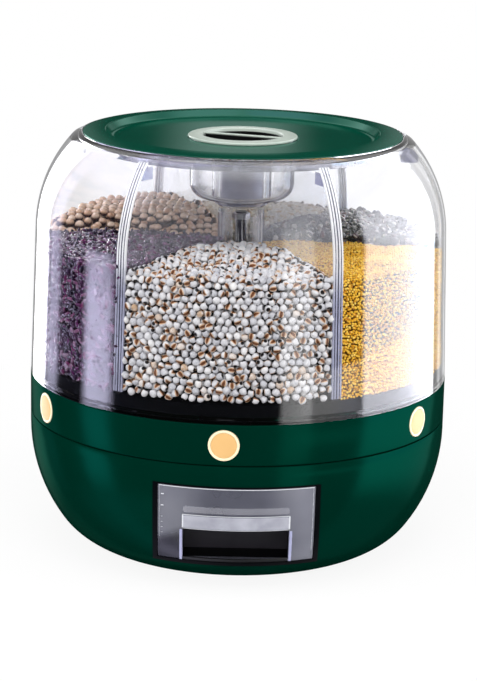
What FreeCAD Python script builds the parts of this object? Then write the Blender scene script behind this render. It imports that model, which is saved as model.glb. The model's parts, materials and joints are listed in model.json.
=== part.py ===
import FreeCAD, Part
import math
import os

# Rotating food dispenser: a clear six-compartment dome that turns on a base with one drawer.
# Millimetres, +Z up, origin at the centre of the bottom on the table. The drawer faces -Y.

# Driving sizes
RING_R = 150.0            # button ring, the widest round part
HEIGHT = 300.0            # table to the lid's rim
SEAM_Z = 97.2             # joint between the fixed base and the turning part
RING_TOP_Z = 125.7        # joint between the button ring and the clear dome
SEAM_GAP = 0.6
SECTORS = 6
SECTOR = 360.0 / SECTORS
ROTOR_PHASE = -3.6        # degrees from the drawer's middle to the front compartment's middle

# Plays between pieces
FIT = 0.2                 # between fixed mouldings
SCREW_PLAY = 0.2
SCREW_BITE = 0.1          # how far a pilot hole is wider than its screw in the model

# Base
SHELL_BOTTOM_Z = 1.5
SHELL_WALL = 3.0
BOWL_START_Z = 88.0       # below this the side curves in
BOWL_R = 115.0            # large side radius in section
BOWL_TURN = 35.0          # degrees through which the large radius runs
COVER_R = 82.0
COVER_T = 2.0
COVER_PLAY = 0.3
COVER_LEDGE_R = 76.0
COVER_LEDGE_RISE = 1.0    # how far the ledge stands over the bowl's floor
COVER_SCREWS = 4
COVER_SCREW_ANGLE = 45.0
COVER_SCREW_CIRCLE_R = 79.0
COVER_BOSS_WALL = 0.8
COVER_BOSS_H = 7.0
FOOT_R = 7.0
FOOT_CIRCLE_R = 66.0
FOOT_T = 2.5
FOOT_PLAY = 0.1
FOOT_ROUNDING = 0.8
SCREW_R = 1.6
SCREW_HEAD_R = 2.6
SCREW_HEAD_T = 1.2
SCREW_SLOT = (2.0, 0.4, 0.6)      # half length, half width and depth of the driver slot
DECK_TOP_Z = 90.8
DECK_T = 3.0
DECK_LEDGE_R = 142.0
DECK_LEDGE_T = 2.0
DECK_SCREW_CIRCLE_R = 144.3
DECK_SCREW_ANGLE = 30.0
HUB_R = 10.0
HUB_BOTTOM_Z = 72.0

# Drawer, its window and its bay
WINDOW_HALF_W = 56.8
WINDOW_Z = (18.6, 82.6)
WINDOW_REACH = (-RING_R - 5.0, -60.0)     # Y from outside the bowl to behind its front
FRAME_SIDE = 3.3
FRAME_TOP = 1.0
FRAME_SILL = 3.2
FRAME_DEPTH = 8.0
FRAME_PROUD = 0.3
BAY_WALL = 2.0
BAY_BACK_Y = -25.0
BAY_SIDE_ROOM = 0.2       # how far the bay stands back from the frame's opening
BAY_SILL_ROOM = 0.1
BAY_LEG_X = (-36.0, 33.0)
BAY_LEG_T = 3.0
BAY_LEG_Y = (-62.0, -28.0)
DRAWER_GAP = 0.4
DRAWER_WALL = 2.2
DRAWER_INSET = 0.2        # drawer front behind the bowl's outer shape
DRAWER_BACK_Y = -28.0
PULL_HALF_W = 36.3        # finger recess in the drawer's front
PULL_Z = (24.3, 61.0)
PULL_BAR_Z = 49.5         # lower edge of the bar that the fingers hook
PULL_BACK_Y = -106.0
PULL_BAR_T = 4.2
PULL_WALL = 1.8
CHUTE_HALF_W = 24.0       # hole in the deck over the drawer
CHUTE_Y = (-137.0, -108.0)

# Turntable bearing
BALL_R = 2.5
BALL_COUNT = 24
BALL_CIRCLE_R = 101.0
BALL_GROOVE_R = 2.8
BALL_PLAY = 0.15
RACE_HALF_W = 5.0
RACE_T = 2.6
CAGE_HALF_W = 4.0
CAGE_T = 1.2
PLATE_Z = (98.0, 100.4)

# Spindle and column
ROD_R = 4.0
ROD_FIT = 0.06
ROD_Z = (66.0, 241.5)
COLLAR_R = 9.0
COLLAR_T = 2.0
TUBE_R = 16.6
TUBE_WALL = 2.2
TUBE_TOP_Z = 242.0
TUBE_GAP = 0.1            # tube to dividers and cap
CAP_PLATE_T = 2.0
CAP_PLATE_ROUNDING = 1.2
CAP_SKIRT_T = 1.5
CAP_SKIRT_H = 3.0
BUSH_T = 10.0
NUT_R = 6.5
NUT_T = 4.1
NUT_DROP = 1.5            # top nut below the tube's top
NUT_GAP = 0.4             # top nut to the upper bushing

# Ring, buttons and gates
RING_WALL = 3.0
RING_ROUNDING = (0.6, 0.8)        # lower and upper outer edge
RING_FLANGE_R = 140.0
RING_FLANGE_T = 2.0
RING_SCREW_CIRCLE_R = 143.5
GATE_ROOM = 3.5           # ring flange to each side of a gate
GATE_ROOM_BACK_R = 134.0
BUTTON_R = 10.7
BUTTON_Z = 111.5
BUTTON_PROUD = 0.4
BUTTON_T = 4.9
BUTTON_ROUNDING = 0.6
BUTTON_HOLE_R = 11.1
BUTTON_TRAVEL = 12.0
GATE_Z = (100.9, 103.3)
GATE_HALF_W = 18.5
GATE_INNER_R = 106.0
TAB_HALF_W = 6.0
TAB_T = 2.0
TAB_TOP_Z = 116.0
HEEL_HALF_W = 5.0
HEEL_OVER_SPRING = 1.0
OUTLET_R = (118.0, 129.0)
OUTLET_HALF_W = 15.0
SLEEVE_WALL = 1.5
SLEEVE_GAP = 0.5
RAIL_PLAY = 0.4
RAIL_T = 2.0
RAIL_OVER_GATE = 1.8
RAIL_R = (90.0, 139.0)
POST_HALF_W = 5.0
POST_T = 3.0
POST_OVER_SPRING = 1.5
SPRING_R = 3.0
SPRING_WIRE_R = 0.4
SPRING_TURNS = 7
SPRING_Z = 106.6
SPRING_PLAY = 0.1
SPRING_POST_R = 80.0

# Floor of the compartments and what carries it
FLOOR_CENTRE_Z = 158.0
FLOOR_EDGE_Z = 138.3
FLOOR_SEAT_R = 18.0
FLOOR_R = 144.4
FLOOR_T = 2.5
FLOOR_RIM_Z = 127.2
FLOOR_ROUNDING = 1.2
SKIRT_R = 60.0
SKIRT_T = 2.0
RIB_HUB_WALL = 4.0

# Dome
DOME_BASE_R = 149.8
DOME_WALL = 2.6
DOME_ARC_START = (146.45, 232.0)
DOME_ARC_R = 98.0
DOME_SHOULDER_TOP_Z = 294.7       # where the shoulder's arc ends below the lip
DOME_LIP_Z = 298.4
DOME_WALL_FOOT = 5.0      # height over the ring where the full wall begins
SPIGOT_R = 146.9
SPIGOT_WALL = 2.3
SPIGOT_Z = 123.2
MOUTH_R = 106.0
MOUTH_WALL = 2.2
MOUTH_Z = 288.5
STEP_Z = 296.6
STEP_T = 2.5
STEP_R = 114.0
DIVIDER_T = 2.4
DIVIDER_TOP_Z = 286.0
DIVIDER_NOTCH_R = 42.0
DIVIDER_NOTCH_SLANT = 6.0
DIVIDER_NOTCH_ROUNDING = (5.0, 6.0)
DIVIDER_FOOT = 0.2        # gap over the floor
DIVIDER_EDGE_PLAY = 0.2
CHANNEL_GAP = 0.3
CHANNEL_T = 2.0
CHANNEL_DEPTH = 5.0
CHANNEL_FOOT = 2.0        # height over the floor's edge where the channels begin

# Lid, moisture box and its twist cap
LID_R = 113.3
LID_T = 2.5
LID_RIM_IN_R = 97.5
LID_PANEL_R = 92.5
LID_PANEL_Z = 295.0
LID_HOLE_PLAY = 0.3
GASKET_T = 0.75
GASKET_R = (109.0, 112.3)
PLUG_R = 105.4
PLUG_WALL = 2.2
PLUG_Z = 288.0
CUP_R = 37.2
CUP_WALL = 1.8
CUP_FLANGE_R = 38.4
CUP_FLANGE_T = 1.4
CUP_BOTTOM_Z = 251.6
CUP_CORNER_R = 11.0
CUP_SECTORS = 12
WELL_R = 21.0
WELL_WALL = 1.6
WELL_BOTTOM_Z = 246.2
WELL_TOP_Z = 284.0
WELL_ROUNDING = 3.0
CARTRIDGE_R = 15.5
CARTRIDGE_PLAY = 0.3
CARTRIDGE_FOOT_T = 1.5
CARTRIDGE_DROP = 3.0      # cartridge body below the well's top
CARTRIDGE_LID_T = 2.0
CARTRIDGE_SLOT = (8.0, 0.8)       # half length and half width
CARTRIDGE_SLOT_X = (-8.0, -4.0, 0.0, 4.0, 8.0)
CAP_R = 38.9
CAP_TOP_Z = 297.2
CAP_RECESS_R = 28.5
CAP_PLUG_R = 34.9
CAP_PLUG_Z = 289.0
CAP_LIFT = 0.15           # cap over the lid's panel
CAP_ROUNDING = 0.9
CAP_FLOOR_Z = 286.5
CAP_FLOOR_T = 1.5
CAP_DISH_WALL = 1.2
CAP_DISH_DROP = 1.2       # dish rim below the cap's top
CAP_DISH_ROUNDING = 2.0
CAP_BAR_HALF_W = 2.1
CAP_BAR_ANGLE = -19.5     # degrees from +X
CAP_BAR_OVER_FLOOR = 5.0
CAP_BAR_DROP = 0.4
CAP_BAR_ROOT = 1.0        # how far the bar runs into the ring

PAST = 1.0                # how far a cutting shape runs past what it cuts
Z_AXIS = FreeCAD.Vector(0, 0, 1)
ORIGIN = FreeCAD.Vector(0, 0, 0)


# Drawing helpers: an outline is in (radius, height), and turns about the Z axis

def at(radius, height):
    return FreeCAD.Vector(radius, 0, height)


def straight(a, b):
    return Part.LineSegment(at(*a), at(*b)).toShape()


def bend(a, middle, b):
    return Part.Arc(at(*a), at(*middle), at(*b)).toShape()


def corner_cut(before, corner, after, radius):
    """Tangent points and middle of the arc that rounds a corner."""
    to_before = (at(*before) - at(*corner)).normalize()
    to_after = (at(*after) - at(*corner)).normalize()
    half = to_before.getAngle(to_after) / 2
    reach = radius / math.tan(half)
    start = at(*corner) + to_before * reach
    end = at(*corner) + to_after * reach
    inward = (to_before + to_after).normalize()
    middle = at(*corner) + inward * (radius / math.sin(half) - radius)
    return start, middle, end


def outline(corners):
    """Closed edges through corners, each (radius, height) or (radius, height, rounding)."""
    count = len(corners)
    pieces = []
    for i, corner in enumerate(corners):
        here = corner[:2]
        rounding = corner[2] if len(corner) > 2 else 0
        if rounding:
            before = corners[i - 1][:2]
            after = corners[(i + 1) % count][:2]
            pieces.append(corner_cut(before, here, after, rounding))
        else:
            pieces.append((at(*here), None, at(*here)))
    edges = []
    for i, (start, middle, end) in enumerate(pieces):
        if middle is not None:
            edges.append(Part.Arc(start, middle, end).toShape())
        following = pieces[(i + 1) % count][0]
        if end.distanceToPoint(following) > 1e-6:
            edges.append(Part.LineSegment(end, following).toShape())
    return edges


def turn(edges):
    return Part.Face(Part.Wire(edges)).revolve(ORIGIN, Z_AXIS, 360)


def turned_ring(corners):
    return turn(outline(corners))


def block(x, y, z):
    return Part.makeBox(x[1] - x[0], y[1] - y[0], z[1] - z[0], FreeCAD.Vector(x[0], y[0], z[0]))


def prism(corners, z):
    """An upright prism over (x, y) corners."""
    points = [FreeCAD.Vector(x, y, z[0]) for x, y in corners + corners[:1]]
    return Part.Face(Part.makePolygon(points)).extrude(FreeCAD.Vector(0, 0, z[1] - z[0]))


def rod(radius, z, x=0.0, y=0.0):
    return Part.makeCylinder(radius, z[1] - z[0], FreeCAD.Vector(x, y, z[0]), Z_AXIS)


def tube(outer, inner, z):
    return rod(outer, z).cut(rod(inner, z))


def front_rod(radius, y, x, z):
    """A cylinder along +Y."""
    return Part.makeCylinder(radius, y[1] - y[0], FreeCAD.Vector(x, y[0], z), FreeCAD.Vector(0, 1, 0))


def swung(shape, degrees):
    """The shape turned about the Z axis, counter-clockwise from above."""
    copy = shape.copy()
    copy.rotate(ORIGIN, Z_AXIS, degrees)
    return copy


def around(shape, count, first=0.0):
    return [swung(shape, first + i * 360.0 / count) for i in range(count)]


def in_sectors(shapes):
    """Shapes built at the front, repeated in each compartment."""
    return [swung(shape, ROTOR_PHASE + i * SECTOR) for i in range(SECTORS) for shape in shapes]


def group(shapes):
    return Part.makeCompound(shapes)


def mirrored(shape):
    """The shape on the other side of the middle plane X = 0."""
    return shape.mirror(ORIGIN, FreeCAD.Vector(1, 0, 0))


# Outer shapes that several pieces are trimmed to

def bowl_edges(inset, top):
    """The base's side in section, inset from its outside, from the top down to the flat bottom."""
    turn_angle = math.radians(BOWL_TURN)
    centre_1 = (RING_R - BOWL_R, BOWL_START_Z)
    join = (
        centre_1[0] + BOWL_R * math.cos(turn_angle),
        BOWL_START_Z - BOWL_R * math.sin(turn_angle),
    )
    lower_r = (join[1] - SHELL_BOTTOM_Z) / (1 - math.sin(turn_angle))
    centre_2 = (join[0] - lower_r * math.cos(turn_angle), SHELL_BOTTOM_Z + lower_r)

    def on_arc(centre, radius, degrees):
        angle = math.radians(degrees)
        return centre[0] + (radius - inset) * math.cos(angle), centre[1] - (radius - inset) * math.sin(angle)

    start = on_arc(centre_1, BOWL_R, 0)
    joined = on_arc(centre_1, BOWL_R, BOWL_TURN)
    bottom = on_arc(centre_2, lower_r, 90)
    edges = [
        straight((start[0], top), start),
        bend(start, on_arc(centre_1, BOWL_R, BOWL_TURN / 2), joined),
        bend(joined, on_arc(centre_2, lower_r, (BOWL_TURN + 90) / 2), bottom),
    ]
    return edges, start[0], bottom


def bowl_body(inset, top=RING_TOP_Z):
    """Everything inside the base's outer shape, inset by a wall."""
    edges, side, bottom = bowl_edges(inset, top)
    edges += [straight(bottom, (0, bottom[1])), straight((0, bottom[1]), (0, top)), straight((0, top), (side, top))]
    return turn(edges)


def dome_arc(inset):
    """Centre and radius of the dome's shoulder in section."""
    run = DOME_ARC_START[1] - RING_TOP_Z
    lean = math.atan2(DOME_BASE_R - DOME_ARC_START[0], run)
    centre = (DOME_ARC_START[0] - DOME_ARC_R * math.cos(lean), DOME_ARC_START[1] - DOME_ARC_R * math.sin(lean))
    return centre, DOME_ARC_R - inset, lean


def dome_side(inset, bottom_z, top_z):
    """Edges of the dome's side and shoulder, from the bottom up to a height on the shoulder."""
    centre, radius, lean = dome_arc(inset)
    start = (centre[0] + radius * math.cos(lean), centre[1] + radius * math.sin(lean))
    foot = (start[0] + (start[1] - bottom_z) * math.tan(lean), bottom_z)
    end_angle = math.asin((top_z - centre[1]) / radius)
    end = (centre[0] + radius * math.cos(end_angle), top_z)
    half = (lean + end_angle) / 2
    middle = (centre[0] + radius * math.cos(half), centre[1] + radius * math.sin(half))
    return [straight(foot, start), bend(start, middle, end)], foot, end


def dome_room(inset, bottom_z=FLOOR_RIM_Z, top_z=STEP_Z - STEP_T):
    """The space inside the dome's wall, less an inset."""
    edges, foot, end = dome_side(DOME_WALL + inset, bottom_z, top_z)
    edges += [straight(end, (0, top_z)), straight((0, top_z), (0, bottom_z)), straight((0, bottom_z), foot)]
    return turn(edges)


# Base

def shell_top():
    return SEAM_Z - SEAM_GAP / 2


def base_shell():
    top = shell_top()
    outer, outer_side, outer_bottom = bowl_edges(0, top)
    inner, inner_side, inner_bottom = bowl_edges(SHELL_WALL, top)
    floor_z = inner_bottom[1]
    cover_top = SHELL_BOTTOM_Z + COVER_T
    ledge_z = floor_z + COVER_LEDGE_RISE
    edges = outer + [
        straight(outer_bottom, (COVER_R, SHELL_BOTTOM_Z)),
        straight((COVER_R, SHELL_BOTTOM_Z), (COVER_R, cover_top)),
        straight((COVER_R, cover_top), (COVER_LEDGE_R, cover_top)),
        straight((COVER_LEDGE_R, cover_top), (COVER_LEDGE_R, ledge_z)),
        straight((COVER_LEDGE_R, ledge_z), (COVER_R, ledge_z)),
        straight((COVER_R, ledge_z), (COVER_R, floor_z)),
        straight((COVER_R, floor_z), inner_bottom),
    ] + inner + [straight((inner_side, top), (outer_side, top))]
    shell = turn(Part.sortEdges(edges)[0])
    deck_ledge_z = (DECK_TOP_Z - DECK_T - DECK_LEDGE_T, DECK_TOP_Z - DECK_T)
    ledge = tube(inner_side, DECK_LEDGE_R, deck_ledge_z)
    window = block((-WINDOW_HALF_W, WINDOW_HALF_W), WINDOW_REACH, WINDOW_Z)
    shell = shell.fuse(ledge).cut(window)
    boss_top = ledge_z + COVER_BOSS_H
    boss = rod(SCREW_HEAD_R + COVER_BOSS_WALL, (ledge_z, boss_top), COVER_SCREW_CIRCLE_R)
    pilot = rod(SCREW_R, (0, boss_top - PAST), COVER_SCREW_CIRCLE_R)
    bosses = around(boss, COVER_SCREWS, COVER_SCREW_ANGLE)
    shell = shell.fuse(bosses).cut(group(around(pilot, COVER_SCREWS, COVER_SCREW_ANGLE)))
    deck_pilot = rod(SCREW_R, deck_ledge_z, DECK_SCREW_CIRCLE_R)
    return shell.cut(group(around(deck_pilot, SECTORS, DECK_SCREW_ANGLE)))


def bottom_cover():
    z = (SHELL_BOTTOM_Z, SHELL_BOTTOM_Z + COVER_T)
    plate = rod(COVER_R - COVER_PLAY, z)
    head = rod(SCREW_HEAD_R + SCREW_PLAY, (z[0], z[0] + SCREW_HEAD_T), COVER_SCREW_CIRCLE_R)
    shank = rod(SCREW_R + SCREW_PLAY, z, COVER_SCREW_CIRCLE_R)
    seat = rod(FOOT_R, (z[0], FOOT_T), FOOT_CIRCLE_R)
    screw_holes = around(head.fuse(shank), COVER_SCREWS, COVER_SCREW_ANGLE)
    return plate.cut(group(screw_holes + around(seat, SECTORS)))


def rubber_feet():
    radius = FOOT_R - FOOT_PLAY
    foot = turned_ring([(0, 0), (radius, 0, FOOT_ROUNDING), (radius, FOOT_T), (0, FOOT_T)])
    foot.translate(FreeCAD.Vector(FOOT_CIRCLE_R, 0, 0))
    return group(around(foot, SECTORS))


def cover_screws():
    """Pan screws pointing up, their heads flush with the bottom."""
    x = COVER_SCREW_CIRCLE_R
    half_length, half_width, depth = SCREW_SLOT
    tip_z = SHELL_BOTTOM_Z + SHELL_WALL + COVER_BOSS_H
    head = rod(SCREW_HEAD_R, (SHELL_BOTTOM_Z, SHELL_BOTTOM_Z + SCREW_HEAD_T), x)
    shank = rod(SCREW_R - SCREW_BITE, (SHELL_BOTTOM_Z + SCREW_HEAD_T, tip_z), x)
    slot = block((x - half_length, x + half_length), (-half_width, half_width), (SHELL_BOTTOM_Z, SHELL_BOTTOM_Z + depth))
    return group(around(head.fuse(shank).cut(slot), COVER_SCREWS, COVER_SCREW_ANGLE))


def deck_screws():
    head = rod(SCREW_HEAD_R, (DECK_TOP_Z, DECK_TOP_Z + SCREW_HEAD_T), DECK_SCREW_CIRCLE_R)
    shank_z = (DECK_TOP_Z - DECK_T - DECK_LEDGE_T, DECK_TOP_Z)
    shank = rod(SCREW_R - SCREW_BITE, shank_z, DECK_SCREW_CIRCLE_R)
    return group(around(head.fuse(shank), SECTORS, DECK_SCREW_ANGLE))


def base_deck():
    z = (DECK_TOP_Z - DECK_T, DECK_TOP_Z)
    deck = rod(RING_R - SHELL_WALL - FIT, z)
    bay_top = WINDOW_Z[1] - DRAWER_GAP + BAY_WALL
    skirt = block(
        (-CHUTE_HALF_W - BAY_WALL, CHUTE_HALF_W + BAY_WALL),
        (CHUTE_Y[0] - BAY_WALL, CHUTE_Y[1] + BAY_WALL),
        (bay_top, z[0]),
    )
    chute = block((-CHUTE_HALF_W, CHUTE_HALF_W), CHUTE_Y, (bay_top - PAST, z[1] + PAST))
    boss = rod(HUB_R, (HUB_BOTTOM_Z, z[0]))
    bore = rod(ROD_R, (HUB_BOTTOM_Z - PAST, z[1] + PAST))
    shank = rod(SCREW_R + SCREW_BITE, z, DECK_SCREW_CIRCLE_R)
    holes = around(shank, SECTORS, DECK_SCREW_ANGLE)
    return deck.fuse([skirt, boss]).cut(group([chute, bore] + holes))


def ball_z():
    return (DECK_TOP_Z + PLATE_Z[0]) / 2


def race(z):
    """A flat ring with the balls' groove."""
    ring = tube(BALL_CIRCLE_R + RACE_HALF_W, BALL_CIRCLE_R - RACE_HALF_W, z)
    return ring.cut(Part.makeTorus(BALL_CIRCLE_R, BALL_GROOVE_R, FreeCAD.Vector(0, 0, ball_z())))


def lower_race():
    return race((DECK_TOP_Z, DECK_TOP_Z + RACE_T))


def upper_race():
    return race((PLATE_Z[0] - RACE_T, PLATE_Z[0]))


def bearing_balls():
    ball = Part.makeSphere(BALL_R, FreeCAD.Vector(BALL_CIRCLE_R, 0, ball_z()))
    return group(around(ball, BALL_COUNT))


def ball_cage():
    z = (ball_z() - CAGE_T / 2, ball_z() + CAGE_T / 2)
    cage = tube(BALL_CIRCLE_R + CAGE_HALF_W, BALL_CIRCLE_R - CAGE_HALF_W, z)
    pocket = rod(BALL_R + BALL_PLAY, z, BALL_CIRCLE_R)
    return cage.cut(group(around(pocket, BALL_COUNT)))


def spindle():
    collar = rod(COLLAR_R, (DECK_TOP_Z, DECK_TOP_Z + COLLAR_T))
    return rod(ROD_R, ROD_Z).fuse(collar)


def hex_nut(z):
    turns = [math.radians(60 * i) for i in range(6)]
    return prism([(NUT_R * math.cos(t), NUT_R * math.sin(t)) for t in turns], z).cut(rod(ROD_R, z))


def top_nut_z():
    top = TUBE_TOP_Z - NUT_DROP
    return top - NUT_T, top


def spindle_nuts():
    return group([hex_nut((HUB_BOTTOM_Z - NUT_T, HUB_BOTTOM_Z)), hex_nut(top_nut_z())])


def window_frame():
    outer = block((-WINDOW_HALF_W, WINDOW_HALF_W), WINDOW_REACH, WINDOW_Z)
    inner = block(
        (-WINDOW_HALF_W + FRAME_SIDE, WINDOW_HALF_W - FRAME_SIDE),
        (WINDOW_REACH[0] - PAST, WINDOW_REACH[1] + PAST),
        (WINDOW_Z[0] + FRAME_SILL, WINDOW_Z[1] - FRAME_TOP),
    )
    return outer.cut(inner).common(bowl_body(-FRAME_PROUD)).cut(bowl_body(FRAME_DEPTH))


def bay_inside():
    """Half width and heights of the drawer bay's inside."""
    return (
        WINDOW_HALF_W - FRAME_SIDE + BAY_SIDE_ROOM,
        (WINDOW_Z[0] + FRAME_SILL - BAY_SILL_ROOM, WINDOW_Z[1] - DRAWER_GAP),
    )


def drawer_bay():
    half, z = bay_inside()
    outer = block(
        (-half - BAY_WALL, half + BAY_WALL),
        (-RING_R, BAY_BACK_Y + BAY_WALL),
        (z[0] - BAY_WALL, z[1] + BAY_WALL),
    )
    inner = block((-half, half), (-RING_R - PAST, BAY_BACK_Y), z)
    chute = block((-CHUTE_HALF_W, CHUTE_HALF_W), CHUTE_Y, (z[1] - PAST, z[1] + BAY_WALL + PAST))
    bay = outer.common(bowl_body(FRAME_DEPTH)).cut(inner).cut(chute)
    leg_z = (SHELL_BOTTOM_Z + COVER_T, z[0] - BAY_WALL)
    return bay.fuse([block((x, x + BAY_LEG_T), BAY_LEG_Y, leg_z) for x in BAY_LEG_X])


# Drawer

def drawer_box():
    half, z = bay_inside()
    side = half - DRAWER_GAP - BAY_SIDE_ROOM
    bottom = z[0] + DRAWER_GAP
    top = WINDOW_Z[1] - FRAME_TOP - DRAWER_GAP
    wall = DRAWER_WALL
    front = bowl_body(DRAWER_INSET)
    body = block((-side, side), (-RING_R, DRAWER_BACK_Y), (bottom, top)).common(front)
    hollow = block((-side + wall, side - wall), (-RING_R, DRAWER_BACK_Y - wall), (bottom + wall, top + PAST))
    pull_shell = block(
        (-PULL_HALF_W - PULL_WALL, PULL_HALF_W + PULL_WALL),
        (-RING_R, PULL_BACK_Y + PULL_WALL),
        (bottom, PULL_Z[1] + PULL_WALL),
    )
    body = body.cut(hollow.common(bowl_body(DRAWER_INSET + wall))).fuse(pull_shell.common(front))
    pull_room = block((-PULL_HALF_W, PULL_HALF_W), (-RING_R, PULL_BACK_Y), PULL_Z)
    behind_bar = pull_room.common(bowl_body(DRAWER_INSET + PULL_BAR_T))
    mouth = block((-PULL_HALF_W, PULL_HALF_W), (-RING_R - PAST, PULL_BACK_Y - PAST), (PULL_Z[0], PULL_BAR_Z))
    return body.cut(behind_bar).cut(mouth)


# Turning part

def button_ring():
    wall_in = RING_R - RING_WALL
    bottom = SEAM_Z + SEAM_GAP / 2
    ring = turned_ring([
        (wall_in, bottom),
        (RING_R, bottom, RING_ROUNDING[0]),
        (RING_R, RING_TOP_Z, RING_ROUNDING[1]),
        (wall_in, RING_TOP_Z),
    ])
    flange_z = (PLATE_Z[1], PLATE_Z[1] + RING_FLANGE_T)
    flange = tube(wall_in, RING_FLANGE_R, flange_z)
    notch_z = (PLATE_Z[1], BUTTON_Z)
    half = GATE_HALF_W + GATE_ROOM
    notch = block((-half, half), (-RING_R, -GATE_ROOM_BACK_R), notch_z).common(rod(wall_in, notch_z))
    hole = front_rod(BUTTON_HOLE_R, (-RING_R - PAST, -GATE_ROOM_BACK_R), 0, BUTTON_Z)
    shank = rod(SCREW_R, (flange_z[0] - PAST, flange_z[1] + PAST), 0, -RING_SCREW_CIRCLE_R)
    screw_holes = around(shank, SECTORS, ROTOR_PHASE + SECTOR / 2)
    return ring.fuse(flange).cut(group(in_sectors([notch, hole]) + screw_holes))


def ring_screws():
    head_z = PLATE_Z[1] + RING_FLANGE_T
    head = rod(SCREW_HEAD_R, (head_z, head_z + SCREW_HEAD_T), 0, -RING_SCREW_CIRCLE_R)
    shank = rod(SCREW_R - SCREW_BITE, (PLATE_Z[0], head_z), 0, -RING_SCREW_CIRCLE_R)
    return group(around(head.fuse(shank), SECTORS, ROTOR_PHASE + SECTOR / 2))


def outlet_block(z, grow=0.0):
    """Block over the front outlet, grown on its four sides."""
    return block(
        (-OUTLET_HALF_W - grow, OUTLET_HALF_W + grow), (-OUTLET_R[1] - grow, -OUTLET_R[0] + grow), z
    )


def panels_round_outlets(disc, grow):
    """The disc as a six-sided middle panel and, outside it, edge panels that leave the outlets open."""
    near = OUTLET_R[0] - grow
    far = OUTLET_R[1] + grow
    half = OUTLET_HALF_W + grow
    z = (0, HEIGHT)
    slope = math.tan(math.radians(SECTOR / 2))
    past = 2 * RING_R
    corner_r = math.hypot(near, near * slope)
    turns = [math.radians(ROTOR_PHASE + SECTOR * (i + 0.5)) for i in range(SECTORS)]
    middle = prism([(corner_r * math.sin(t), -corner_r * math.cos(t)) for t in turns], z)
    rim = disc.cut(middle)
    behind = block((-half, half), (-past, -far), z)
    beside = prism([(half, -near), (near * slope, -near), (past * slope, -past), (half, -past)], z)
    cells = in_sectors([behind, beside, mirrored(beside)])
    return disc.common(middle), [rim.common(cell) for cell in cells]


def rotor_plate():
    """The turntable's disc: a middle panel and edge panels round the outlets."""
    plate = tube(RING_R - RING_WALL - FIT, HUB_R, PLATE_Z)
    shank = rod(SCREW_R, (PLATE_Z[0] - PAST, PLATE_Z[1] + PAST), 0, -RING_SCREW_CIRCLE_R)
    plate = plate.cut(group(around(shank, SECTORS, ROTOR_PHASE + SECTOR / 2)))
    middle, edges = panels_round_outlets(plate, 0)
    return group([middle] + edges)


def turntable_ribs():
    """What stands on the disc: the hub, the floor's skirt, the gates' rails and the spring posts."""
    rail_x = (GATE_HALF_W + RAIL_PLAY, GATE_HALF_W + RAIL_PLAY + RAIL_T)
    rail = block(rail_x, (-RAIL_R[1], -RAIL_R[0]), (PLATE_Z[1], GATE_Z[1] + RAIL_OVER_GATE))
    post = block(
        (-POST_HALF_W, POST_HALF_W), (-SPRING_POST_R, -SPRING_POST_R + POST_T),
        (PLATE_Z[1], SPRING_Z + SPRING_R + POST_OVER_SPRING),
    )
    hub = tube(HUB_R + RIB_HUB_WALL, HUB_R, (PLATE_Z[1], FLOOR_CENTRE_Z - FLOOR_T))
    skirt = tube(SKIRT_R, SKIRT_R - SKIRT_T, (PLATE_Z[1], FLOOR_CENTRE_Z)).common(under_floor(FLOOR_T))
    return group([hub, skirt] + in_sectors([rail, mirrored(rail), post]))


def bushing(outer, z):
    return tube(outer, ROD_R + ROD_FIT, z)


def bushings():
    top = top_nut_z()[0] - NUT_GAP
    lower = bushing(HUB_R, (PLATE_Z[0], PLATE_Z[0] + BUSH_T))
    upper = bushing(TUBE_R - TUBE_WALL, (top - BUSH_T, top))
    return group([lower, upper])


def floor_height(radius):
    slope = (FLOOR_CENTRE_Z - FLOOR_EDGE_Z) / (FLOOR_R - FLOOR_SEAT_R)
    return FLOOR_CENTRE_Z - (radius - FLOOR_SEAT_R) * slope


def under_floor(depth):
    """The space below the sloping floor's top, less a depth."""
    top = FLOOR_CENTRE_Z - depth
    return turned_ring([
        (0, top), (FLOOR_SEAT_R, top), (FLOOR_R, FLOOR_EDGE_Z - depth), (FLOOR_R, SEAM_Z), (0, SEAM_Z)
    ])


def floor_disc():
    under_edge = FLOOR_R - FLOOR_T
    return turned_ring([
        (HUB_R, FLOOR_CENTRE_Z),
        (FLOOR_SEAT_R, FLOOR_CENTRE_Z),
        (FLOOR_R, FLOOR_EDGE_Z, FLOOR_ROUNDING),
        (FLOOR_R, FLOOR_RIM_Z),
        (under_edge, FLOOR_RIM_Z),
        (under_edge, floor_height(under_edge) - FLOOR_T),
        (FLOOR_SEAT_R, FLOOR_CENTRE_Z - FLOOR_T),
        (HUB_R, FLOOR_CENTRE_Z - FLOOR_T),
    ])


def outlet_sleeves():
    """Four walls round each outlet, from just over its gate up to the floor's top."""
    z = (GATE_Z[1] + SLEEVE_GAP, FLOOR_CENTRE_Z)
    near, far = OUTLET_R
    half = OUTLET_HALF_W
    side = block((half, half + SLEEVE_WALL), (-far, -near), z)
    walls = [
        block((-half - SLEEVE_WALL, half + SLEEVE_WALL), (-near, -near + SLEEVE_WALL), z),
        block((-half - SLEEVE_WALL, half + SLEEVE_WALL), (-far - SLEEVE_WALL, -far), z),
        side,
        mirrored(side),
    ]
    room = under_floor(0)
    return group(in_sectors([wall.common(room) for wall in walls]))


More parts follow.
